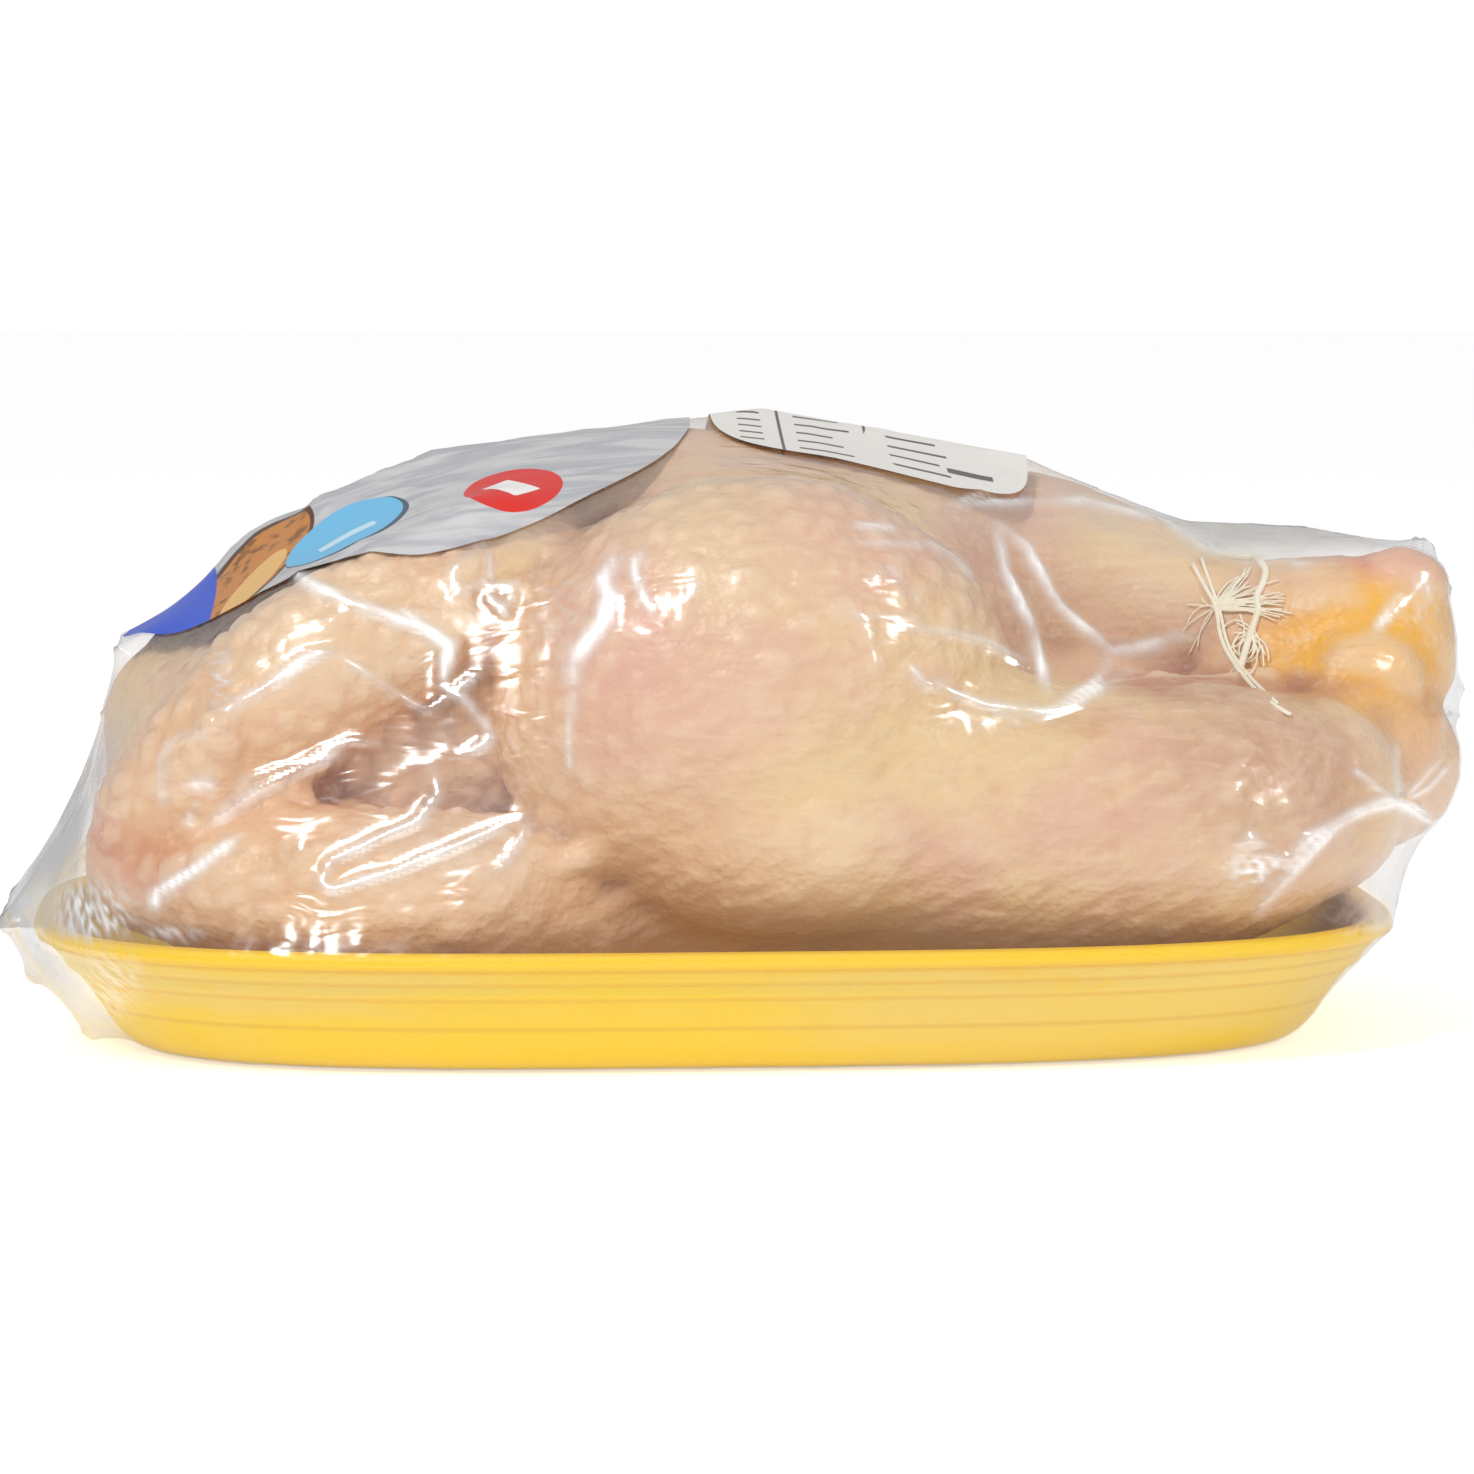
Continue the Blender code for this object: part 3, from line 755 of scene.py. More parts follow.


# Folds of the film that the photograph shows: half width in mm, height in mm, brightness of the painted
# highlight on the crest, line in pixels
FOLDS = (
    (2.4, 1.2, 0.9, ((617, 556), (604, 579), (610, 598), (604, 623), (579, 655), (572, 671), (574, 687))),
    (0.8, 0.6, 0.6, ((574, 687), (570, 730), (570, 770))),
    (1.0, 0.8, 0.7, ((642, 550), (634, 569), (641, 591), (655, 617))),
    (0.8, 0.6, 0.5, ((697, 579), (692, 598))),
    (0.9, 0.8, 0.6, ((483, 543), (453, 572), (457, 594), (486, 582), (491, 572), (483, 543))),
    (0.9, 0.8, 0.6, ((483, 588), (504, 614), (516, 585), (483, 588))),
    (0.9, 0.8, 0.6, ((400, 610), (425, 626), (448, 649))),
    (0.9, 0.8, 0.6, ((400, 697), (429, 712), (480, 674))),
    (0.9, 0.8, 0.6, ((438, 687), (461, 693), (486, 722), (491, 738), (464, 754))),
    (1.2, 1.4, 0.8, ((997, 526), (1003, 573), (1031, 629), (1047, 697))),
    (1.2, 1.4, 0.8, ((997, 526), (1025, 549), (1057, 609), (1093, 637), (1109, 653), (1105, 673),
                     (1089, 689), (1049, 709))),
    (1.6, 1.0, 0.8, ((1105, 655), (1192, 637))),
    (1.0, 1.0, 0.6, ((894, 625), (945, 633), (981, 641), (1009, 657), (1025, 665))),
    (1.2, 1.2, 0.8, ((945, 689), (981, 705), (1041, 713), (1073, 705), (1129, 673))),
    (0.8, 0.6, 0.5, ((850, 526), (898, 530))),
    (0.8, 0.6, 0.5, ((850, 544), (930, 546), (953, 557), (973, 581))),
    (0.8, 0.6, 0.5, ((862, 581), (890, 569), (922, 605))),
    (0.8, 0.6, 0.4, ((850, 617), (922, 617))),
    (0.8, 0.6, 0.5, ((910, 665), (926, 689), (945, 681))),
    (1.2, 0.9, 0.7, ((1383, 625), (1407, 601), (1423, 581))),
    (1.2, 1.4, 0.7, ((1240, 852), (1288, 860), (1308, 836), (1347, 816), (1383, 800), (1407, 804),
                     (1427, 816))),
    (1.2, 1.2, 0.6, ((1061, 456), (1105, 478), (1168, 506))),
    (0.9, 0.8, 0.5, ((1015, 478), (957, 506))),
    (0.9, 0.8, 0.5, ((953, 506), (1085, 502), (1160, 522))),
    (1.0, 0.8, 0.5, ((1160, 522), (1208, 553), (1252, 565), (1312, 565))),
    (1.6, 1.4, 0.9, ((293, 571), (311, 587), (357, 605), (393, 619), (425, 630), (450, 646), (448, 655),
                     (443, 687))),
    (1.6, 1.2, 0.8, ((225, 712), (268, 687), (307, 659), (336, 651))),
    (1.0, 1.0, 0.6, ((343, 659), (393, 691), (427, 712), (461, 687))),
    (1.0, 1.0, 0.6, ((438, 687), (464, 701), (489, 730), (489, 744), (461, 759))),
    (0.9, 0.8, 0.6, ((164, 805), (163, 766), (171, 744), (211, 732))),
    (0.9, 0.8, 0.6, ((221, 812), (243, 794), (243, 780), (304, 762), (350, 741), (379, 744))),
    (1.6, 1.2, 0.8, ((211, 823), (250, 794), (343, 751))),
    (1.2, 1.2, 0.7, ((432, 766), (439, 794), (418, 823), (375, 841), (332, 862), (321, 884), (332, 891),
                     (393, 873), (464, 844), (521, 819))),
    (0.9, 0.8, 0.5, ((525, 816), (527, 834), (500, 873))),
    (1.4, 1.0, 0.9, ((153, 910), (160, 893), (200, 867), (240, 837))),
    (2.2, 1.0, 0.9, ((190, 786), (206, 780), (212, 790))),
    (0.9, 0.8, 0.7, ((198, 800), (187, 826))),
    (1.0, 0.8, 0.7, ((320, 755), (247, 780), (233, 800), (217, 815))),
    (1.0, 0.8, 0.7, ((163, 803), (163, 757), (180, 737), (207, 728))),
    (1.3, 1.6, 0.7, ((1258, 910), (1300, 860), (1332, 827), (1362, 810), (1395, 802), (1418, 817),
                     (1430, 822))),
    (0.7, 0.5, 0.5, ((1395, 802), (1396, 743))),
    (0.7, 0.5, 0.5, ((1392, 800), (1368, 780), (1352, 770))),
    (0.7, 0.5, 0.5, ((1400, 803), (1430, 785), (1448, 763))),
    (0.7, 0.5, 0.4, ((1402, 800), (1436, 760), (1445, 713))),
    (1.5, 0.8, 0.95, ((1375, 633), (1388, 612), (1402, 593))),
    (0.8, 0.6, 0.8, ((1425, 580), (1428, 603))),
    (1.8, 1.0, 0.9, ((1236, 848), (1250, 838), (1262, 846))),
)

# Crumpled areas of the film: middle and half sizes in pixels of the photograph, and strength
CRUMPLES = (
    ((1262, 868), (44, 24), 1.0), ((222, 684), (16, 52), 0.8), ((96, 912), (52, 40), 0.9),
    ((1420, 600), (30, 40), 0.5), ((176, 934), (34, 8), 0.9), ((560, 610), (46, 60), 0.35),
    ((1010, 715), (60, 20), 0.5), ((110, 985), (40, 50), 0.5),
)

# Where the film is milky: strength, then the centre and the radii in mm
HAZES = (
    (1.0, (-162, -20, 50), (27, 90, 50)), (0.9, (110, 6, 114), (42, 30, 12)),
    (0.35, (34, -8, 128), (70, 30, 9)), (0.25, (-132, -44, 32), (26, 46, 12)),
    (0.2, (60, -20, 116), (40, 22, 10)), (0.25, (154, -10, 40), (18, 60, 26)),
    (0.06, (0, -95, 14), (170, 16, 16)), (0.4, (150, -5, 104), (14, 20, 10)),
    (0.25, (-60, -44, 112), (60, 20, 8)), (0.55, (143, -52, 33), (22, 34, 13)),
    (0.25, (-62, -72, 56), (26, 26, 17)),
)


def fold_field(pixels):
    """Height in metres of the folds at each pixel, and the brightness of the painted highlight on them: a
    ridge whose sides fall off as the square of one less the distance over the reach, and which fades towards
    its ends. The reach is 1 mm and one and a half times the half width. The brightness of the painted
    highlight varies with soft noise."""
    height = np.zeros(len(pixels))
    bright = np.zeros(len(pixels))
    for half_width, rise, gain, line in FOLDS:
        d, share = near_line(pixels, line)
        ends = np.clip(0.35 + 6 * share * (1 - share), 0, 1)
        ridge = np.clip(1 - d / (1 + 1.5 * half_width), 0, 1) ** 2 * ends
        height = np.maximum(height, rise * MM * ridge)
        bright = np.maximum(bright, gain * np.clip(1.3 * ridge, 0, 1))
    flat = np.column_stack((pixels, np.zeros(len(pixels))))
    patchy = 0.62 + 0.75 * clouds(flat, 34, 21, 3)
    return height, bright * np.clip(patchy, 0.3, 1)


def crumples(points, pixels):
    """Share of crumpled film, 0..1: a fine net of cell borders inside each crumpled area, which is an
    ellipse of photograph pixels."""
    near, second = cells(points, 2.6 * MM, 41)
    net = np.clip(1 - 3.2 * (second - near), 0, 1)
    total = np.zeros(len(points))
    for (x, y), (wide, tall), gain in CRUMPLES:
        d = np.hypot((pixels[:, 0] - x) / wide, (pixels[:, 1] - y) / tall)
        total = np.maximum(total, gain * np.clip(1.6 - 1.6 * d, 0, 1))
    return total * net


def make_film(solids):
    """The sheet stretched over the solids and the film's lines, plus folds and fine creases along its
    normals, where a crease is the sixth power of one less the size of soft noise. A second copy of the rays'
    lowest places, without the lines, tells how loose the film lies."""
    start, out = film_rays()
    least = obstacle_distances(start, out, solids) + FILM_GAP
    touching = least.copy()
    for line in film_lines():
        row, column, far = ray_of(line_points(line) * MM + SHIFT)
        for r in (np.floor(row), np.ceil(row)):
            for c in (np.floor(column), np.ceil(column)):
                at = (np.clip(r, 0, FILM_ROWS - 1).astype(int), np.mod(c, FILM_COLUMNS).astype(int))
                np.maximum.at(least, at, far)
    far = drawn_tight(start, out, least)
    grid = start + out * far[..., None]
    normal = grid_normals(grid, out)
    sides = np.where(grid[..., 1:2] > 0, (1, -1, 1), 1)
    seen = ((normal * sides * (camera_axes()[0] - grid * sides)).sum(-1) > 0) & (grid[..., 2] > 6 * MM)
    pixels = to_photo(near_half(grid.reshape(-1, 3)))
    height, bright = fold_field(pixels)
    height *= seen.ravel()
    bright *= seen.ravel()
    loose = np.clip((far - touching) / (3 * MM), 0, 1).ravel()
    flat = grid.reshape(-1, 3)
    crease = 1 - np.abs(clouds(flat * (1, 1, 0.6), 16 * MM, 11, 2))
    height += 0.4 * MM * (crease ** 6) * (0.4 + 0.4 * loose)
    grid = grid + normal * height.reshape(far.shape)[..., None]
    grid[..., 2] = np.maximum(grid[..., 2], -0.3 * MM)
    film = closed_grid(grid).object("film")
    ends = (0, 0)
    haze = np.zeros(len(flat))
    for strength, centre, radii in HAZES:
        haze = np.maximum(haze, strength * blob(flat, centre, radii, 0.45))
    haze *= 0.3 + 0.7 * loose
    crumple = crumples(flat, pixels) * seen.ravel()
    give(film, "haze", np.concatenate((np.clip(haze + 0.5 * crumple, 0, 1), ends)))
    # Painted highlight: the folds and crumples are painted white, standing in for the light's reflection in
    # them.
    give(film, "fold_highlight", np.concatenate((np.maximum(bright, 0.5 * crumple), ends)))
    give(film, "loose", np.concatenate((loose, ends)))
    film.visible_shadow = False
    film.visible_diffuse = False
    film.visible_glossy = False
    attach(film, "root")
    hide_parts("chicken_in_film")
    return film


# Labels

def label_sheet(name, node, middle, half_sizes, squareness, swell, film, lift, stiffness):
    """A sheet of rings round its middle, each a superellipse that swells towards +X, let down on the film
    and stretched level over its hollows."""
    share = ((np.arange(LABEL_RINGS) + 0.5) / LABEL_RINGS)[:, None]
    u = np.arange(LABEL_COLUMNS)[None] * 2 * pi / LABEL_COLUMNS
    power = 2 / squareness
    x = middle[0] + share * half_sizes[0] * np.sign(np.cos(u)) * np.abs(np.cos(u)) ** power
    y = middle[1] + share * half_sizes[1] * np.sign(np.sin(u)) * np.abs(np.sin(u)) ** power
    y = y * (1 + swell * (x - middle[0]) / half_sizes[0])
    start = np.stack((x * MM + SHIFT[0], y * MM, LABEL_START + 0 * x), -1)
    flat = disc_grid(start).object("label_cage")
    drop = flat.modifiers.new("let down", "SHRINKWRAP")
    drop.target = film
    drop.wrap_method = "PROJECT"
    drop.use_project_z = True
    drop.use_negative_direction = True
    drop.use_positive_direction = False
    points = read_mesh(flat)[0][:-1].reshape(start.shape)
    bpy.data.objects.remove(flat)
    least = points[..., 2] + lift
    out = np.broadcast_to((0.0, 0.0, 1.0), start.shape)
    ground = start * (1, 1, 0)
    height = stretched(ground, out, least, least, stiffness)
    made = disc_grid(ground + out * height[..., None]).object(name)
    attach(made, "root")
    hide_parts(node)
    return made


def disc_grid(grid):
    """A sheet of rings, the first of which closes on its mean."""
    rows, columns = grid.shape[:2]
    index = np.arange(rows * columns).reshape(rows, columns)
    turned = np.roll(index, -1, 1)
    quads = np.stack((index[:-1], index[1:], turned[1:], turned[:-1]), -1).reshape(-1, 4)
    fan = np.stack((np.full(columns, rows * columns), index[0], turned[0]), -1)
    return Shape(np.concatenate((grid.reshape(-1, 3), grid[:1].mean(1))), quads, fan)


def plan_of(obj):
    """Places of a label's points in mm, seen from above."""
    return (read_mesh(obj)[0][:, :2] - SHIFT[:2]) / MM


def outside_oval(plan, middle, radii, turn):
    """About the distance in mm outside an oval that is turned by an angle in degrees."""
    a = radians(turn)
    p = (plan - middle) @ np.array(((cos(a), -sin(a)), (sin(a), cos(a))))
    return (np.linalg.norm(p / radii, axis=1) - 1) * min(radii)


def outside_bar(plan, middle, halves, turn=0):
    """Distance in mm outside the nearer pair of sides of a bar."""
    a = radians(turn)
    p = (plan - middle) @ np.array(((cos(a), -sin(a)), (sin(a), cos(a))))
    return (np.abs(p) - halves).max(1)


# Materials

class Graph:
    """A material or a group under construction. add() makes a node, sets its settings, and sets each named
    socket to a value or links it to another socket."""

    def __init__(self, tree):
        self.tree = tree
        self.shader = tree.nodes.get("Principled BSDF")

    def add(self, kind, sockets=None, **settings):
        node = self.tree.nodes.new(kind)
        for key, value in settings.items():
            setattr(node, key, value)
        for key, value in (sockets or {}).items():
            if isinstance(value, bpy.types.NodeSocket):
                self.tree.links.new(value, node.inputs[key])
            else:
                node.inputs[key].default_value = value
        return node

    def math(self, operation, a, b=0.0, clamp=False):
        """The result of a sum, product or the like of two values."""
        node = self.add("ShaderNodeMath", {0: a, 1: b}, operation=operation, use_clamp=clamp)
        return node.outputs[0]

    def ramp(self, value, low, high, out_low=0.0, out_high=1.0):
        """A smooth step from out_low to out_high as the value goes from low to high."""
        node = self.add("ShaderNodeMapRange", {0: value, 1: low, 2: high, 3: out_low, 4: out_high},
                        interpolation_type="SMOOTHSTEP")
        return node.outputs[0]

    def mix(self, factor, a, b):
        """The colour between a and b at the factor."""
        node = self.add("ShaderNodeMix", {0: factor, 6: a, 7: b}, data_type="RGBA")
        return node.outputs[2]

    def number(self, name):
        """A number of the mesh's points, given by name."""
        return self.add("ShaderNodeAttribute", attribute_name=name).outputs["Fac"]

    def place(self):
        """Place in the object's own frame, in metres."""
        return self.add("ShaderNodeTexCoord").outputs["Object"]

    def noise(self, place, scale, detail=2.0, stretch=None, distortion=0.0):
        """Soft noise of so many cells a metre, with the place first multiplied by the stretch."""
        if stretch:
            place = self.add("ShaderNodeMapping", {"Vector": place, "Scale": stretch}).outputs[0]
        node = self.add("ShaderNodeTexNoise", {"Vector": place, "Scale": scale, "Detail": detail,
                                               "Distortion": distortion})
        return node.outputs[0]

    def bump(self, height, distance, strength=1.0, normal=None):
        """The normal leaned by a height, whose 1 stands for the distance in metres."""
        sockets = {"Height": height, "Distance": distance, "Strength": strength}
        if normal:
            sockets["Normal"] = normal
        return self.add("ShaderNodeBump", sockets).outputs[0]


def colour(red, green, blue):
    """Linear colour of 0..255 display values."""
    v = np.array((red, green, blue)) / 255
    return (*np.where(v > 0.04045, ((v + 0.055) / 1.055) ** 2.4, v / 12.92), 1.0)


def material(name, obj):
    """The graph of a new material that the object takes."""
    made = bpy.data.materials.new(name)
    made.use_nodes = True
    obj.data.materials.append(made)
    return Graph(made.node_tree)


def shade(g, **sockets):
    """Sets or links the shader's sockets by name, with _ for a space."""
    for key, value in sockets.items():
        name = key.replace("_", " ")
        if isinstance(value, bpy.types.NodeSocket):
            g.tree.links.new(value, g.shader.inputs[name])
        else:
            g.shader.inputs[name].default_value = value


# Regions of the skin: name, colour, then (centre, radii, strength) of each ellipsoid in mm
REGIONS = (
    ("wing", colour(230, 184, 142), (((-95, -62, 62), (52, 40, 46), 1), ((-60, -74, 40), (80, 30, 20), 1))),
    ("fat", colour(228, 196, 158), (((-8, -70, 112), (34, 30, 18), 1), ((-86, -66, 92), (34, 22, 14), 0.8),
                                    ((88, -40, 86), (40, 24, 14), 0.7))),
    ("pink", colour(224, 172, 152), (((-34, -80, 92), (16, 30, 26), 0.8), ((24, -60, 112), (26, 30, 20), 0.6),
                                     ((0, 0, 132), (60, 40, 12), 0.5))),
    ("purple", colour(196, 146, 118), (((108, -74, 62), (26, 26, 16), 0.8),
                                       ((60, -30, 96), (22, 24, 16), 0.6))),
    ("hock", colour(248, 180, 22), (((132, -26, 80), (24, 22, 17), 1), ((141, -24, 90), (14, 20, 13), 1))),
    # The crease region is painted shade: dark reddish brown along the crease between the legs.
    ("crease", colour(186, 118, 92), (((66, -46, 71), (15, 26, 3.5), 0.7), ((92, -42, 77), (18, 26, 3), 0.8),
                                      ((117, -38, 76), (14, 22, 3), 0.7))),
    ("bone", colour(222, 140, 126), (((144, -20, 104), (16, 16, 7), 1),)),
    ("peach", colour(240, 184, 134), (((138, -24, 56), (22, 24, 20), 1),)),
    ("elbow", colour(204, 112, 66), (((-140, -44, 44), (12, 18, 13), 1),
                                     ((-122, -56, 42), (10, 12, 8), 0.7))),
)


def paint_bird(bird):
    """Skin between pinkish and cream with yellow and red mottle, tinted by region, darker and browner in
    hollows as painted shade, and paler on ridges. Relief finer than the mesh is bump: pores, grain and
    slanting lines."""
    points = read_mesh(bird)[0]
    g = material("raw skin", bird)
    place = g.place()
    broad = g.noise(place, 28, 2)
    fine = g.noise(place, 260, 2)
    base = g.mix(g.ramp(broad, 0.35, 0.65), colour(226, 182, 154), colour(232, 199, 151))
    mottle = g.noise(place, 120, 2, distortion=0.8)
    base = g.mix(g.ramp(mottle, 0.5, 0.75, 0.0, 0.4), base, colour(236, 204, 146))
    base = g.mix(g.ramp(mottle, 0.45, 0.25, 0.0, 0.3), base, colour(214, 164, 144))
    for name, tint, blobs in REGIONS:
        mask = np.zeros(len(points))
        for centre, radii, strength in blobs:
            where = near_half(points) if centre[0] < 40 else points
            mask = np.maximum(mask, strength * blob(where, centre, radii, 0.5))
        give(bird, name, mask)
        uneven = g.math("MULTIPLY", g.number(name), g.ramp(fine, 0.2, 0.7, 0.65, 1.0))
        base = g.mix(uneven, base, tint)
    # Painted shade: the skin turns dark brown the deeper it lies in a hollow.
    hollow = g.ramp(g.number("hollow"), 0.3, 3.0)
    base = g.mix(hollow, base, colour(158, 100, 70))
    ridge = g.ramp(g.number("hollow"), -0.1, -1.2)
    base = g.mix(g.math("MULTIPLY", ridge, 0.5), base, colour(240, 212, 182))
    pores = g.add("ShaderNodeTexVoronoi", {"Vector": place, "Scale": 520.0}).outputs[0]
    spots = g.ramp(g.noise(place, 90, 2), 0.64, 0.76)
    base = g.mix(g.math("MULTIPLY", spots, 0.22), base, colour(206, 138, 112))
    normal = g.bump(pores, 0.0005, 0.35)
    normal = g.bump(g.noise(place, 700, 1), 0.0004, 0.4, normal)
    slanted = g.add("ShaderNodeMapping", {"Vector": place, "Rotation": (0, 0.5, 0), "Scale": (0.14, 1, 1)})
    lines = g.noise(slanted.outputs[0], 420, 2)
    base = g.mix(g.ramp(lines, 0.54, 0.7, 0.0, 0.2), base, colour(244, 216, 176))
    base = g.mix(g.ramp(lines, 0.44, 0.3, 0.0, 0.16), base, colour(208, 156, 126))
    normal = g.bump(lines, 0.0008, 0.3, normal)
    shade(g, Base_Color=base, Roughness=0.42, Normal=normal)


def paint_tray(tray):
    """Yellow foam with paler and wetter patches, a brighter rim and a darker line along each of its steps."""
    g = material("yellow foam", tray)
    place = g.place()
    pale = g.ramp(g.noise(place, 16, 3, stretch=(0.5, 1, 2.5)), 0.45, 0.62)
    base = g.mix(pale, colour(254, 216, 18), colour(248, 214, 96))
    wet = g.ramp(g.noise(place, 60, 3, stretch=(0.4, 1, 1.6), distortion=1.0), 0.6, 0.68)
    base = g.mix(g.math("MULTIPLY", wet, 0.6), base, colour(255, 206, 0))
    across = g.add("ShaderNodeSeparateXYZ", {0: place}).outputs[2]
    rim = g.ramp(across, 0.0215, 0.0245)
    base = g.mix(rim, base, colour(254, 208, 20))
    for height in TRAY_LINES:
        line = g.ramp(g.math("ABSOLUTE", g.math("SUBTRACT", across, height)), 0.0009, 0.0001)
        base = g.mix(g.math("MULTIPLY", line, 0.32), base, colour(222, 160, 12))
    normal = g.bump(g.add("ShaderNodeTexVoronoi", {"Vector": place, "Scale": 900.0}).outputs[0], 0.0003, 0.4)
    shade(g, Base_Color=base, Roughness=0.5, Normal=normal)


def paint_twine(twine):
    """Off-white cotton with fine fibres."""
    g = material("cotton twine", twine)
    fibre = g.noise(g.place(), 1800, 2)
    base = g.mix(fibre, colour(255, 252, 236), colour(244, 232, 204))
    shade(g, Base_Color=base, Roughness=0.85, Normal=g.bump(fibre, 0.0003, 0.4))


def paint_film(film):
    """Clear film: it mirrors a little, more where the view grazes it, and passes the rest of the light.
    Along its folds it is painted white and glows: a painted highlight.
    """
    g = material("clear film", film)
    place = g.place()
    fold_highlight, loose = g.number("fold_highlight"), g.number("loose")
    streaks = g.noise(place, 60, 2, stretch=(1, 1, 0.25))
    wrinkles = g.noise(place, 190, 1, stretch=(0.35, 1, 1), distortion=1.2)
    normal = g.bump(streaks, 0.003, 0.3)
    normal = g.bump(wrinkles, 0.0009, 0.3, normal)
    facing = g.add("ShaderNodeLayerWeight", {"Blend": 0.5, "Normal": normal}).outputs["Facing"]
    graze = g.math("POWER", facing, 3.0)
    milk = g.math("MULTIPLY", g.number("haze"), g.ramp(streaks, 0.25, 0.75, *FILM_MILK))
    alpha = g.math("ADD", g.math("MULTIPLY", graze, FILM_GRAZING), FILM_CLEAR)
    alpha = g.math("ADD", alpha, milk)
    # Along the folds the film turns white and stops mirroring: partly the real whitening of creased film,
    # mostly a painted highlight, and the glow there is painted light.
    white = g.math("MULTIPLY", fold_highlight, 1.1, clamp=True)
    alpha = g.math("ADD", alpha, white)
    alpha = g.math("ADD", alpha, g.math("MULTIPLY", loose, FILM_LOOSE), clamp=True)
    mirror = g.math("SUBTRACT", 1.0, white)
    glint = g.mix(white, (0, 0, 0, 1), (1, 1, 1, 1))
    shade(g, Base_Color=(1, 1, 1, 1), Metallic=mirror, Roughness=0.16, Alpha=alpha, Normal=normal,
          Emission_Color=glint, Emission_Strength=FOLD_GLOW)


# Plain fields of the printed label, one over the other: name, colour, form, and its middle, radii or half
# sizes, and turn in degrees, in mm and seen from above
LABEL_FIELDS = (
    ("green", colour(136, 192, 58), outside_oval, (-112, -38), (9, 22), -38),
    ("gold_edge", colour(92, 58, 36), outside_oval, (-109, -26), (14, 23), -32),
    ("gold", colour(206, 134, 62), outside_oval, (-108, -26), (12, 21), -32),
    ("gold_light", colour(238, 190, 116), outside_oval, (-105, -32), (5, 11), -32),
    ("far_edge", colour(92, 58, 36), outside_oval, (-84, 24), (27, 21), 14),
    ("far_gold", colour(214, 146, 72), outside_oval, (-84, 23), (25, 19), 14),
    ("far_green", colour(136, 192, 58), outside_oval, (-56, 38), (13, 6), 36),
    ("sky_edge", colour(66, 88, 108), outside_oval, (-85, -33), (13, 14), -20),
    ("sky", colour(112, 196, 240), outside_oval, (-85.6, -32), (12.3, 13.5), -20),
    ("sky_light", colour(206, 234, 248), outside_bar, (-85, -36), (6, 1.6), 12),
    ("badge", colour(226, 46, 38), outside_oval, (-50, -38), (10.5, 12), 0),
    ("badge_patch", colour(248, 246, 244), outside_bar, (-50.5, -39), (3.6, 5.2), 40),
    ("blue", colour(38, 84, 214), outside_oval, (-146, -16), (33, 70), 0),
)
# Rules and rows of the weight label: middle and half sizes in mm
LABEL_BARS = [((9, 10), (0.35, 28)), ((28, 8), (0.35, 26)), ((50, -10.5), (5, 1.3)), ((52, 27), (7, 5))]
LABEL_BARS += [((18.5 - k % 3, -15 + 5 * k), (6 - k % 3, 0.5)) for k in range(10)]
LABEL_BARS += [((39 - k % 2, -14 + 5 * k), (6.5 - k % 2, 0.5)) for k in range(7)]
LABEL_BARS += [((2.5, -12 + 4 * k), (2.6, 0.45)) for k in range(6)]


def paint_labels(printed, weight):
    """The printed label is grey with drawn-out grain under its plain fields, and the weight label is white
    with plain rules and rows. Each form is the distance outside it, cut off sharply."""
    plan = plan_of(printed)
    g = material("printed paper", printed)
    place = g.place()
    waves = g.noise(place, 70, 4, stretch=(0.35, 2.6, 2.6), distortion=1.2)
    base = g.mix(g.ramp(waves, 0.34, 0.66), colour(182, 183, 188), colour(212, 211, 212))
    mottle = g.noise(place, 300, 4)
    for name, tint, form, middle, sizes, turn in LABEL_FIELDS:
        give(printed, name, form(plan, middle, sizes, turn))
        mask = g.ramp(g.number(name), PRINT_EDGE, -PRINT_EDGE)
        deep = (*(0.42 * c for c in tint[:3]), 1.0)
        field = g.mix(g.ramp(mottle, 0.5, 0.66), tint, deep) if name.endswith("gold") else tint
        base = g.mix(mask, base, field)
    shade(g, Base_Color=base, Roughness=0.35)
    plan = plan_of(weight)
    give(weight, "bars", np.min([outside_bar(plan, *bar) for bar in LABEL_BARS], axis=0))
    g = material("white paper", weight)
    ink = g.ramp(g.number("bars"), PRINT_EDGE, -PRINT_EDGE)
    shade(g, Base_Color=g.mix(ink, colour(236, 233, 228), colour(112, 106, 102)), Roughness=0.5)


# Light and ground

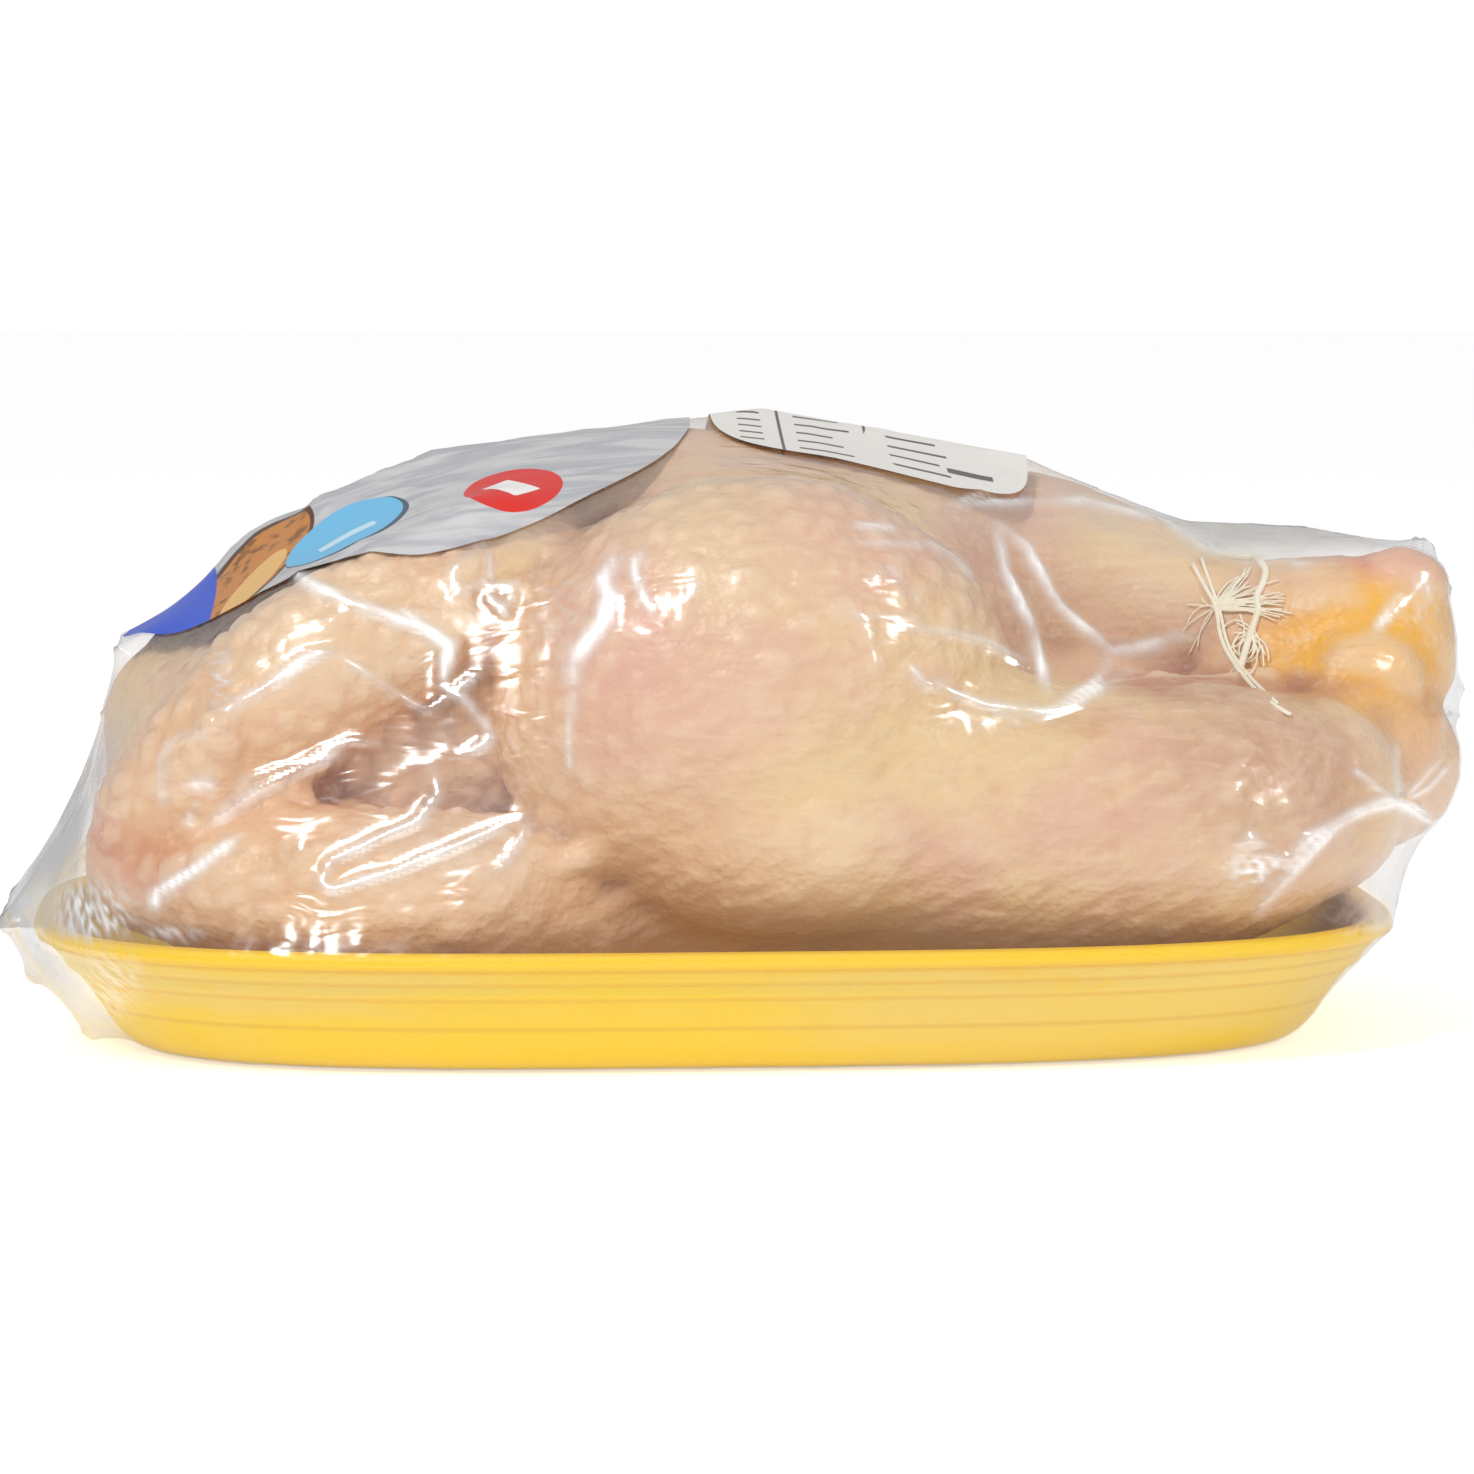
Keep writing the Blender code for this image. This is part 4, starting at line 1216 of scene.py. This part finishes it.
def make_light(name, place, size, power):
    """A soft rectangle of light that looks at the aim."""
    data = bpy.data.lights.new(name, "AREA")
    data.shape = "RECTANGLE"
    data.size, data.size_y = size
    data.energy = power
    lamp = bpy.data.objects.new(name, data)
    lamp.location = place
    lamp.rotation_mode = "QUATERNION"
    lamp.rotation_quaternion = (Vector(LIGHT_AIM) - Vector(place)).to_track_quat("-Z", "Y")
    bpy.context.scene.collection.objects.link(lamp)


def make_studio():
    """A pale floor that runs on behind, a white surround, a soft light high on the left and a weaker one on
    the right. The camera sees floor and surround brighter than they light the object."""
    u = np.linspace(-1, 1, 25)
    floor = np.stack(np.broadcast_arrays(6.0 * u[None, :], 6.0 * u[:, None], -0.4 * MM), -1)
    ground = open_grid(np.array(floor)).object("ground")
    g = material("pale floor", ground)
    straight = g.add("ShaderNodeLightPath").outputs["Is Camera Ray"]
    glow = g.mix(straight, (FLOOR_SHARE, FLOOR_SHARE, FLOOR_SHARE, 1), (1, 1, 1, 1))
    shade(g, Base_Color=(0.93, 0.93, 0.93, 1), Roughness=0.7, Specular_IOR_Level=0.2,
          Emission_Color=glow, Emission_Strength=FLOOR_GLOW)
    world = bpy.data.worlds.new("white surround")
    world.use_nodes = True
    g = Graph(world.node_tree)
    straight = g.add("ShaderNodeLightPath").outputs["Is Camera Ray"]
    strength = g.add("ShaderNodeMapRange", {0: straight, 3: SURROUND, 4: BACKDROP}).outputs[0]
    background = world.node_tree.nodes["Background"]
    background.inputs["Color"].default_value = (1, 1, 1, 1)
    world.node_tree.links.new(strength, background.inputs["Strength"])
    bpy.context.scene.world = world
    make_light("key light", *KEY_LIGHT)
    make_light("side light", *SIDE_LIGHT)
    bpy.context.scene.view_settings.view_transform = "Standard"


make_camera()
make_studio()
bird = make_bird()
tray, tray_shape = make_tray()
points, _, corners = read_mesh(bird)
bird_shape = Shape(points, corners.reshape(-1, 4), np.zeros((0, 3), int))
twine, twine_shape = make_twine(bird)
film = make_film(together([bird_shape, tray_shape, twine_shape]))
printed = label_sheet("label_print", "printed_label", (-72, 0), (62, 57), 1.8, 0.15, film,
                      0.4 * MM, 40)
weight = label_sheet("label_weight", "weight_label", (29, 10), (35, 29), 4.0, 0, film,
                     0.6 * MM, 200)
paint_bird(bird)
paint_tray(tray)
paint_twine(twine)
paint_film(film)
paint_labels(printed, weight)
